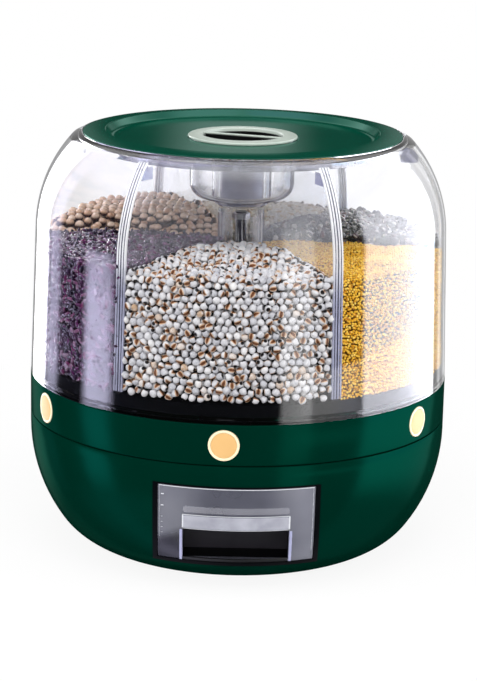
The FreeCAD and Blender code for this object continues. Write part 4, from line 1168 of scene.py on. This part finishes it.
def spread(width, height, spacing, rng):
    """Points over a rectangle, about spacing apart, with no pattern. Up to PUSHED_COUNT of them are
    also pushed apart, in more rounds where they are few."""
    rows = max(1, round(height / (spacing * HEX_ROW)))
    columns = max(1, round(width / spacing))
    j, i = np.meshgrid(np.arange(rows), np.arange(columns), indexing="ij")
    across = (i + 0.25 + 0.5 * (j % 2)) * width / columns
    points = np.stack([across, (j + 0.5) * height / rows], -1).reshape(-1, 2)
    points = points + rng.uniform(-JITTER, JITTER, points.shape) * spacing
    if len(points) < PUSHED_COUNT:
        for _ in range(10 if len(points) > 400 else 30):
            apart = points[:, None] - points[None]
            gap = np.hypot(apart[..., 0], apart[..., 1]) + np.eye(len(points)) * 1e9
            push = np.clip(spacing - gap, 0, None) / gap * 0.35
            points = points + (apart * push[..., None]).sum(1)
            points = np.clip(points, 0, (width, height))
    return points


def axes_on(normals, spin, lift):
    """Frames lying on a surface: spin turns a grain in the surface, lift tips its long axis out."""
    upright = np.where(np.abs(normals[:, 2:]) > 0.9, (0.0, 1.0, 0.0), (0.0, 0.0, 1.0))
    side = np.cross(upright, normals)
    side /= np.linalg.norm(side, axis=1)[:, None]
    above = np.cross(normals, side)
    along = side * np.cos(spin)[:, None] + above * np.sin(spin)[:, None]
    along = along * np.cos(lift)[:, None] + normals * np.sin(lift)[:, None]
    out = normals - along * (normals * along).sum(1)[:, None]
    out /= np.linalg.norm(out, axis=1)[:, None]
    return np.stack([along, np.cross(out, along), out], -1)


def rolled(frames, roll):
    """Frames turned about their long axis."""
    along, across, out = frames[..., 0], frames[..., 1], frames[..., 2]
    c, s = np.cos(roll)[:, None], np.sin(roll)[:, None]
    return np.stack([along, across * c + out * s, out * c - across * s], -1)


class Heap:
    """The dry food in one compartment: its level, and where grains lie on its faces. Rise is the height
    of its mound, and bank how much higher it lies away from one divider."""

    def __init__(self, number, level, rise, bank, seed):
        self.level = level
        self.rise = rise
        self.bank = bank
        self.rng = np.random.default_rng(seed)
        turn = math.radians(sector_angle(number - 1))
        self.out = np.array([math.sin(turn), -math.cos(turn), 0.0])
        self.side = np.array([math.cos(turn), math.sin(turn), 0.0])

    def top(self, ahead, aside):
        """Height of the heap at a place, measured along the compartment's middle and across it."""
        radius = np.hypot(ahead, aside)
        mound = np.exp(-((radius - MOUND_R) / MOUND_LENGTH) ** 2) * np.exp(-(aside / MOUND_WIDTH) ** 2)
        ripple = RIPPLE * np.sin(ahead * 0.11 + self.level) * np.sin(aside * 0.13 + self.rise)
        from_divider = ahead * math.sin(HALF_SECTOR) - aside * math.cos(HALF_SECTOR)
        from_wall = dome_inside(self.level) - radius
        banked = np.clip(from_divider / BANK_FOOT, 0, 1) * np.clip(from_wall / BANK_EDGE, 0.4, 1)
        off_tube = np.clip((radius - BANK_START_R) / BANK_LENGTH, 0, 1)
        return self.level + self.rise * mound + ripple + self.bank * banked * off_tube

    def at(self, ahead, aside, height):
        flat = ahead[:, None] * self.out + aside[:, None] * self.side
        return flat + height[:, None] * np.array([0, 0, 1.0])

    def wall(self, spacing, depth):
        """Places just inside the dome, depth in from its wall."""
        radius = dome_inside(FOOD_MIDDLE_Z) - depth
        half = radius * HALF_SECTOR - DIVIDER_T / 2 - depth * 0.9
        low = FLOOR_EDGE_Z + depth
        spots = spread(2 * half, self.level + self.rise + self.bank - low, spacing, self.rng)
        turn = (spots[:, 0] - half) / radius
        height = low + spots[:, 1]
        reach = dome_inside(height) - depth
        ahead, aside = reach * np.cos(turn), reach * np.sin(turn)
        keep = height < self.top(ahead, aside) - depth * 0.3
        ahead, aside, height, turn = ahead[keep], aside[keep], height[keep], turn[keep]
        normals = np.cos(turn)[:, None] * self.out + np.sin(turn)[:, None] * self.side
        return self.at(ahead, aside, height), normals

    def surface(self, spacing, depth):
        """Places on the heap's top, depth under it."""
        reach = dome_inside(self.level) - 1.5
        half_width = reach * math.sin(HALF_SECTOR)
        spots = spread(reach, 2 * half_width, spacing, self.rng)
        ahead, aside = spots[:, 0], spots[:, 1] - half_width
        keep = self.inside(ahead, aside, spacing / 2)
        ahead, aside = ahead[keep], aside[keep]
        normals = np.tile((0.0, 0.0, 1.0), (len(ahead), 1))
        uneven = self.rng.uniform(-0.35, 0.35, len(ahead)) * depth
        return self.at(ahead, aside, self.top(ahead, aside) - depth + uneven), normals

    def inside(self, ahead, aside, margin):
        """Which places are in the compartment, clear of its walls and of the centre tube."""
        from_divider = ahead * math.sin(HALF_SECTOR) - np.abs(aside) * math.cos(HALF_SECTOR)
        radius = np.hypot(ahead, aside)
        return (
            (from_divider > DIVIDER_T / 2 + margin) & (radius > TUBE_R + margin)
            & (radius < dome_inside(self.level) - margin)
        )

    def flanks(self, spacing, depth, down):
        """Places against both dividers, in the band just under the top."""
        places, normals = [], []
        ahead_share, aside_share = math.cos(HALF_SECTOR), math.sin(HALF_SECTOR)
        start, end = TUBE_R + 3, dome_inside(self.level) - depth
        for sign in (-1, 1):
            spots = spread(end - start, down, spacing, self.rng)
            along = start + spots[:, 0]
            off = DIVIDER_T / 2 + depth
            ahead = along * ahead_share + off * aside_share
            aside = sign * (along * aside_share - off * ahead_share)
            height = self.top(ahead, aside) - spots[:, 1] - depth * 0.5
            places.append(self.at(ahead, aside, height))
            facing = -aside_share * self.out + sign * ahead_share * self.side
            normals.append(np.tile(facing, (len(along), 1)))
        return np.concatenate(places), np.concatenate(normals)

    def core(self, name, inset, material):
        """The solid inside of the heap, inset from its faces."""
        count = 24
        radii = np.linspace(TUBE_R + 0.6 + inset * 0.4, dome_inside(self.level) - inset, count)
        half = HALF_SECTOR - np.arcsin((DIVIDER_T / 2 + inset * 0.8) / radii)
        turn = half[:, None] * np.linspace(-1, 1, count)[None]
        ahead, aside = radii[:, None] * np.cos(turn), radii[:, None] * np.sin(turn)
        top = self.top(ahead, aside) - inset
        floor = np.tile(floor_height(radii)[:, None] + 0.4, (1, count))
        grids = [self.at(ahead.ravel(), aside.ravel(), height.ravel()) for height in (top, floor)]
        mesh = mesh_of(np.concatenate(grids), slab_faces(count, count))
        give(name, mesh, material, "rotor", "white_plastic")


def lay(heap, name, shape, spots, material, lift):
    """Grains on (places, normals), each turned its own way."""
    places, normals = spots
    rng = heap.rng
    count = len(places)
    frames = axes_on(normals, rng.uniform(0, 2 * math.pi, count), rng.normal(0, lift, count))
    frames = rolled(frames, rng.uniform(-math.pi, math.pi, count))
    sizes = 1 + rng.uniform(-SIZE_CHANGE, SIZE_CHANGE, count)
    set_down(name, shape, places, normals, frames, sizes, material)


def both(spots):
    return tuple(np.concatenate(parts) for parts in zip(*spots))


def fill(number, name, heap, grain, material, under, lift, down=45.0, layers=2):
    """One compartment's dry food: its inside, then its grains at the wall, on top and at the dividers.
    Heap is (level, rise, bank, seed), and grain is (shape, spacing, depth of a grain's middle)."""
    heap = Heap(number, *heap)
    shape, spacing, depth = grain
    # the heap's inside carries the painted shade material
    heap.core(f"{name}_inside", depth * 1.9, under)
    wall = [heap.wall(spacing, depth)]
    top = [heap.surface(spacing, depth)]
    flank = [heap.flanks(spacing, depth, down)]
    if layers > 1:
        wall.append(heap.wall(spacing * 1.1, depth * 2.1))
        top.append(heap.surface(spacing * 1.1, depth * 2.0))
    lay(heap, f"{name}_at_wall", shape, both(wall), material, lift)
    lay(heap, f"{name}_on_top", shape, both(top), material, lift * 1.5)
    lay(heap, f"{name}_at_dividers", shape, both(flank), material, lift)


def make_contents():
    adlay_grain = (grain_shape((3.05, 2.6, 2.5), 12, 9, crease=0.8, eye=0.9), 5.35, 2.7)
    rice_grain = (grain_shape((3.7, 1.55, 1.45), 7, 6), 3.8, 1.8)
    soy_grain = (grain_shape((3.35, 3.15, 3.1), 12, 8), 6.7, 3.35)
    millet_grain = (grain_shape((1.0, 0.95, 0.95), 5, 4), 1.95, 1.1)
    bean_grain = (grain_shape((2.9, 2.2, 2.1), 8, 6, crease=0.25), 4.7, 2.3)
    # The heaps' insides are dark sheets of painted shade seen between the outer grains.
    adlay_shade_core = shade_under("adlay_painted_shade", colour(9, 8, 8), colour(34, 31, 30))
    rice_shade_core = shade_under("rice_painted_shade", colour(5, 4, 7), colour(20, 12, 20))
    millet_shade_core = shade_under("millet_painted_shade", colour(96, 58, 6), colour(170, 116, 20))
    soy_shade_core = shade_under("soy_painted_shade", colour(34, 18, 10), colour(84, 52, 30))
    bean_shade_core = shade_under("bean_painted_shade", colour(8, 8, 7), colour(26, 26, 22))
    pale_shade_core = shade_under("pale_painted_shade", colour(110, 98, 78), colour(190, 180, 160))
    fill(1, "adlay", (223.0, 7.0, 0.0, 11), adlay_grain, adlay(), adlay_shade_core, 0.5)
    fill(2, "millet", (221.0, 2.0, 0.0, 12), millet_grain, millet(), millet_shade_core, 0.5, 35.0, 1)
    fill(3, "mixed_beans", (224.0, 5.0, 0.0, 13), bean_grain, mixed_beans(), bean_shade_core, 0.4, 40.0, 1)
    fill(4, "pale_rice", (223.0, 3.0, 0.0, 14), rice_grain, pale_rice(), pale_shade_core, 0.25, 40.0, 1)
    fill(5, "soybean", (219.0, 3.0, 16.0, 15), soy_grain, soybean(), soy_shade_core, 0.5)
    fill(6, "dark_rice", (224.0, 2.0, 0.0, 16), rice_grain, dark_rice(), rice_shade_core, 0.3, 40.0)


# Drawer front: what shows of the finger pull in its smoky plastic

def front_reach(z, x, inset=DRAWER_INSET):
    """How far out in Y the drawer's front lies at a height and a distance from the middle."""
    curve = bowl_curve(inset)
    radius = np.interp(z, [p[1] for p in curve][::-1], [p[0] for p in curve][::-1])
    return np.sqrt(radius ** 2 - np.square(x))


def bent_slab(x, z, inset, thickness, rounding, corner=0.0, count=(40, 14)):
    """A slab that follows the drawer's front, inset behind the bowl's skin, with softened edges."""
    across, up = np.linspace(-1, 1, count[0]), np.linspace(-1, 1, count[1])
    half_x, half_z = (x[1] - x[0]) / 2, (z[1] - z[0]) / 2
    soft_x = np.sign(across) * (1 - (1 - np.abs(across)) ** 1.6)
    soft_z = np.sign(up) * (1 - (1 - np.abs(up)) ** 1.6)
    u, v = np.meshgrid(soft_x, soft_z, indexing="ij")
    px = (x[0] + x[1]) / 2 + u * half_x
    pz = (z[0] + z[1]) / 2 + v * half_z
    if corner:
        lap = np.clip(np.abs(u) * half_x - (half_x - corner), 0, None)
        pz = (z[0] + z[1]) / 2 + v * (half_z - corner + np.sqrt(np.clip(corner ** 2 - lap ** 2, 0, None)))
    near = np.minimum((1 - np.abs(u)) * half_x, (1 - np.abs(v)) * half_z)
    drop = rounding * (1 - np.sqrt(np.clip(1 - (1 - np.clip(near / rounding, 0, 1)) ** 2, 0, 1)))
    skin = -front_reach(pz, px, 0.0) + inset
    front = skin + drop
    back = np.maximum(skin + thickness, front + 0.05)
    points = np.concatenate([np.stack([px, y, pz], -1).reshape(-1, 3) for y in (front, back)])
    return mesh_of(points, slab_faces(*px.shape))


def cheek(x, z, back):
    """An upright plate beside the recess, from the bowl's side in to the recess's back."""
    heights = np.linspace(z[0], z[1], 12)
    fronts = -front_reach(heights, max(map(abs, x))) + SKIN_DEPTH
    edge = list(zip(fronts, heights)) + [(back, z[1]), (back, z[0])]
    count = len(edge)
    points = [(u, y, height) for u in x for y, height in edge]
    return mesh_of(points, tube_faces(2, count))


def on_drawer(name, mesh, material):
    give(name, mesh, material, "drawer", "smoky_plastic")


def make_pull():
    """The bar that fingers hook, the hood over it and painted highlight lines along their edges."""
    half = PULL_HALF_W
    bar_x = (-half - 0.4, half + 0.4)
    bar = bent_slab(bar_x, BAR_Z, inset=0.1, thickness=1.2, rounding=1.1, corner=2.5)
    on_drawer("pull_bar_face", bar, PULL_CLEAR)
    hood = bent_slab((-half, half), HOOD_Z, inset=0.12, thickness=0.8, rounding=0.6, corner=2.0)
    on_drawer("pull_hood", hood, PULL_HAZE)
    low, high = BAR_Z
    lines = [
        bent_slab((-half - 0.2, half + 0.2), z, LINE_INSET, LINE_T, rounding=0.2, count=(40, 5))
        for z in ((high - 0.4, high + 0.1), (low + 0.1, low + 0.5))
    ]
    lines += [
        bent_slab(x, (low + 0.9, high - 0.4), LINE_INSET, LINE_T, rounding=0.3, count=(6, 20))
        for x in ((bar_x[0], -half + 0.7), (half - 0.7, bar_x[1]))
    ]
    on_drawer("pull_bar_lines", joined(lines), MARK_AND_HIGHLIGHT_WHITE)
    strips = [
        bent_slab(x, EDGE_Z, inset=0.08, thickness=0.8, rounding=0.8, corner=0.6, count=(10, 24))
        for x in ((-half - 2.3, -half + 0.2), (half - 0.2, half + 2.3))
    ]
    on_drawer("pull_edges", joined(strips), PULL_EDGE_HIGHLIGHT)


def make_edge_lines():
    """Painted highlight lines along the drawer front's edges: top, right and left."""
    reach = DRAWER_HALF_W - 0.4
    lines = [
        bent_slab((-reach, reach), TOP_LINE_Z, EDGE_INSET, LINE_T, rounding=0.3, count=(60, 5)),
        bent_slab(*RIGHT_LINE, EDGE_INSET, LINE_T, rounding=0.3, count=(5, 40)),
        bent_slab(*LEFT_LINE, EDGE_INSET, LINE_T, rounding=0.2, count=(5, 40)),
    ]
    on_drawer("drawer_edge_lines", joined(lines), MARK_AND_HIGHLIGHT_WHITE)


def make_recess():
    """The finger recess's lining, dark as painted shade: back wall, cheeks, roof, tread and the sill in
    front.
    """
    side = PULL_HALF_W - LINING_PLAY
    back = PULL_BACK_Y - LINING_PLAY
    front = back - LINING_T
    low, high = PULL_Z[0] + 0.1, PULL_Z[1] - LINING_PLAY
    on_drawer("pull_back_wall", box_mesh((-side, side), (front, back), (low, high)), PULL_BACK)
    dark = [cheek(x, (low, high), front) for x in ((-side, -side + LINING_T), (side - LINING_T, side))]
    roof_y, tread_y = -front_reach(PULL_Z[1], side) + 6.0, -front_reach(low, side) + SKIN_DEPTH
    dark.append(box_mesh((-side, side), (roof_y, front), (high - LINING_T, high)))
    dark.append(box_mesh((-side, side), (tread_y, front), (low, low + LINING_T)))
    dark.append(bent_slab((-side, side), SILL_Z, inset=0.1, thickness=0.8, rounding=0.5, count=(40, 6)))
    on_drawer("pull_inside", joined(dark), PULL_SHADE)


def make_marks():
    """The short level marks at the front's left edge."""
    marks = []
    for rows, half in ((LONG_MARKS, 0.36), (SHORT_MARKS, 0.12)):
        for z, length in rows:
            y = -front_reach(z, MARK_MIDDLE_X) - 0.02
            x = (MARK_X, MARK_X + length)
            marks.append(box_mesh(x, (y - 0.05, y + 0.35), (z - half, z + half), 0.12, 2))
    give("level_marks", joined(marks), MARK_AND_HIGHLIGHT_WHITE, "drawer", "white_plastic")


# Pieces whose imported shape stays

def dress():
    """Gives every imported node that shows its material."""
    finishes = {
        "clear_plastic": CLEAR_INNER, "green_plastic": GREEN, "smoky_plastic": SMOKY, "cream_plastic": CREAM,
        "button_plastic": BUTTON_FACE, "black_plastic": BLACK, "grey_plastic": GREY, "white_plastic": WHITE,
        "steel": STEEL, "soft_rubber": RUBBER,
    }
    special = {
        "desiccant_cartridge": CARTRIDGE, "lid_gasket": SILICONE, "spindle": ROD, "bushings": PLATE_CLEAR,
        "column_cap": PLATE_CLEAR,
    }
    special.update({f"divider_{i + 1}": PLATE_CLEAR for i in range(SECTORS)})
    slots = {part["node"]: part["material_slot"] for part in frame["record"]["subparts"]}
    for name, node in frame["nodes"].items():
        node.data.materials.clear()
        node.data.materials.append(special.get(name, finishes[slots[name]]))


# Studio

def make_stage():
    """A wide floor: white to the eye and a soft grey to the light, with the object's shadow."""
    far = FLOOR_HALF_W
    floor = mesh_of([(-far, -far, 0), (far, -far, 0), (far, far, 0), (-far, far, 0)], [(0, 1, 2, 3)])
    f = Finish("studio_floor")
    where = f.axes()
    off_middle = ((where["X"] ** 2.0 + where["Y"] ** 2.0) ** 0.5).ramp(0.20, 0.50, 0.90, 1.0)
    lit = f.node("ShaderNodeBsdfDiffuse", {}, {"Color": (0.86, 0.86, 0.86, 1.0)})["BSDF"]
    white = f.node("ShaderNodeEmission", {}, {"Color": WHITE_LIGHT, "Strength": 1.0})["Emission"]
    shown = f.mix(f.looked_at() * off_middle, lit, white)
    floor.materials.append(f.done(f.mix(f.mirrored(), shown, f.clear(WHITE_LIGHT))))
    stand = put("floor", floor)
    stand.visible_glossy = False


def make_world():
    world = bpy.data.worlds.new("studio")
    bpy.context.scene.world = world
    f = Finish("studio", world)
    sockets = {"Color": WHITE_LIGHT, "Strength": f.looked_at() * 0.45 + 0.55}
    f.done(f.node("ShaderNodeBackground", {}, sockets)["Background"], "ShaderNodeOutputWorld")


# Reflector cards round the object: (start, end) in degrees from the front, positive to the right,
# edge softness in degrees, and brightness
CARDS = (
    (22.0, 38.0, 2.0, 2.4),
    (68.0, 130.0, 2.0, 7.0),
    (130.0, 170.0, 2.0, 0.45),
    (138.0, 143.0, 1.5, 0.6),
    (153.0, 157.0, 1.5, 0.5),
    (-88.0, -70.0, 4.0, 7.0),
    (-125.0, -113.0, 3.0, 1.8),
    (-152.0, -128.0, 2.0, 7.0),
    (-170.0, -152.0, 2.0, 0.40),
)
CARD_LEFT = (0.76, 0.74, 1.0, 1.0)
CARD_RIGHT = (0.54, 0.75, 1.0, 1.0)
CARD_HIGH = (0.90, 0.91, 1.0, 1.0)
CARD_DARK = 0.03
CARD_DISTANCE = 1300.0
CARD_Z = (-1500.0, 1500.0)
CARD_SIDES = 180


def card_ring():
    """A closed drum round the object."""
    turns = np.linspace(0, 2 * np.pi, CARD_SIDES, endpoint=False)
    rim = np.stack([CARD_DISTANCE * np.sin(turns), -CARD_DISTANCE * np.cos(turns)], -1)
    points = [(x, y, z) for z in CARD_Z for x, y in rim] + [(0.0, 0.0, z) for z in CARD_Z]
    pairs = [(i, (i + 1) % CARD_SIDES) for i in range(CARD_SIDES)]
    faces = [(a, b, CARD_SIDES + b, CARD_SIDES + a) for a, b in pairs]
    faces += [(a, b, 2 * CARD_SIDES) for a, b in pairs]
    faces += [(CARD_SIDES + a, CARD_SIDES + b, 2 * CARD_SIDES + 1) for a, b in pairs]
    return mesh_of(points, faces)


def card_light(f):
    """The cards' brightness and colour. Turn is degrees from the front, positive to the right."""
    where = f.axes()
    x, y, z = where["X"], where["Y"], where["Z"]
    turn = x.math("ARCTAN2", y * -1.0) * math.degrees(1.0)
    off_front = turn.math("ABSOLUTE")
    bands = None
    for start, end, soft, bright in CARDS:
        band = turn.between(start - soft, start + soft, end - soft, end + soft) * bright
        bands = band if bands is None else bands + band
    near_left = 1.0 - turn.between(-100.0, -95.0, -65.0, -60.0) * z.ramp(-0.02, 0.10)
    upright = z.ramp(-0.80, -0.32, 0.12, 1.0) * z.ramp(0.45, 1.05, 1.0, 0.0) * near_left
    low_left = turn.between(-115.0, -95.0, -40.0, -15.0) * z.ramp(-0.9, -0.5, 1.2, 0.0)
    overhead = z.ramp(1.45, 1.49) * ((x ** 2.0 + y ** 2.0) ** 0.5).ramp(0.5, 0.9, 4.0, 0.5)
    beside = off_front.between(45.0, 80.0, 150.0, 165.0)
    aloft = (z.ramp(0.55, 1.15, 0.0, 2.0) + z.ramp(0.05, 0.40, 0.0, 0.06)) * beside
    behind = off_front.ramp(175.2, 178.6, 0.0, 0.6) * z.ramp(0.31, 0.36) * z.ramp(0.70, 0.80, 1.0, 0.0)
    foot = turn.between(24.0, 40.0, 60.0, 76.0) * z.ramp(-0.26, -0.24) * z.ramp(-0.079, -0.073, 1.8, 0.0)
    strength = bands * upright + low_left + overhead + aloft + behind + foot + CARD_DARK
    off_food = z.ramp(0.01, 0.08).most(z.ramp(-0.078, -0.068, 1.0, 0.0))
    side = f.blend(turn.ramp(-5.0, 5.0), CARD_LEFT, f.blend(off_food, CARD_RIGHT, CARD_HIGH))
    tint = f.blend(off_front.between(45.0, 60.0, 124.0, 134.0), WHITE_LIGHT, side)
    return strength, tint


def make_cards():
    """Bright and dark cards round the object, which only reflections see."""
    mesh = card_ring()
    f = Finish("reflector_cards")
    strength, tint = card_light(f)
    shader = f.node("ShaderNodeEmission", {}, {"Color": tint, "Strength": strength})["Emission"]
    mesh.materials.append(f.done(f.mix(f.mirrored(), f.clear(WHITE_LIGHT), shader)))
    cards = put("reflector_cards", mesh)
    cards.visible_camera = False
    cards.visible_diffuse = False
    cards.visible_shadow = False


def direction(azimuth, elevation):
    """From the object's middle towards a place; the azimuth counts from the front to the right."""
    turn, rise = math.radians(azimuth), math.radians(elevation)
    return Vector((math.sin(turn) * math.cos(rise), -math.cos(turn) * math.cos(rise), math.sin(rise)))


def make_lamps():
    """Square soft lamps that face the object's middle."""
    for name, azimuth, elevation, distance, watts in LAMPS:
        light = bpy.data.lights.new(name, "AREA")
        light.shape = "SQUARE"
        light.size = LAMP_SIZE
        light.energy = watts
        away = direction(azimuth, elevation)
        lamp = put(name, light)
        lamp.location = Vector((0, 0, AIM_Z * SCALE)) + away * distance
        lamp.rotation_euler = away.to_track_quat("Z", "Y").to_euler()
        lamp.visible_glossy = False
        lamp.visible_transmission = False


def make_camera():
    lens = bpy.data.cameras.new("camera")
    lens.lens = LENS
    lens.sensor_width = SENSOR_W
    away = direction(CAMERA_AZIMUTH, CAMERA_ELEVATION)
    facing = away.to_track_quat("Z", "Y").to_matrix().to_4x4()
    roll = Matrix.Rotation(math.radians(CAMERA_ROLL), 4, "Z")
    place = Matrix.Translation((Vector((0, 0, AIM_Z)) + away * CAMERA_DISTANCE) * SCALE)
    camera = put("camera", lens)
    camera.matrix_world = place @ facing @ roll
    bpy.context.scene.camera = camera


def main():
    for make in (
        dress, make_base, make_ring, make_buttons, make_dome, make_channels, make_tube, make_plug, make_cup,
        make_lid, make_cap, make_springs, make_pull, make_edge_lines, make_recess, make_marks, make_contents,
        make_stage, make_world, make_cards, make_lamps, make_camera,
    ):
        make()
    scene = bpy.context.scene
    scene.view_settings.view_transform = "Standard"
    scene.cycles.max_bounces = LIGHT_BOUNCES
    scene.cycles.transmission_bounces = LIGHT_BOUNCES
    scene.cycles.transparent_max_bounces = CLEAR_LAYERS


main()
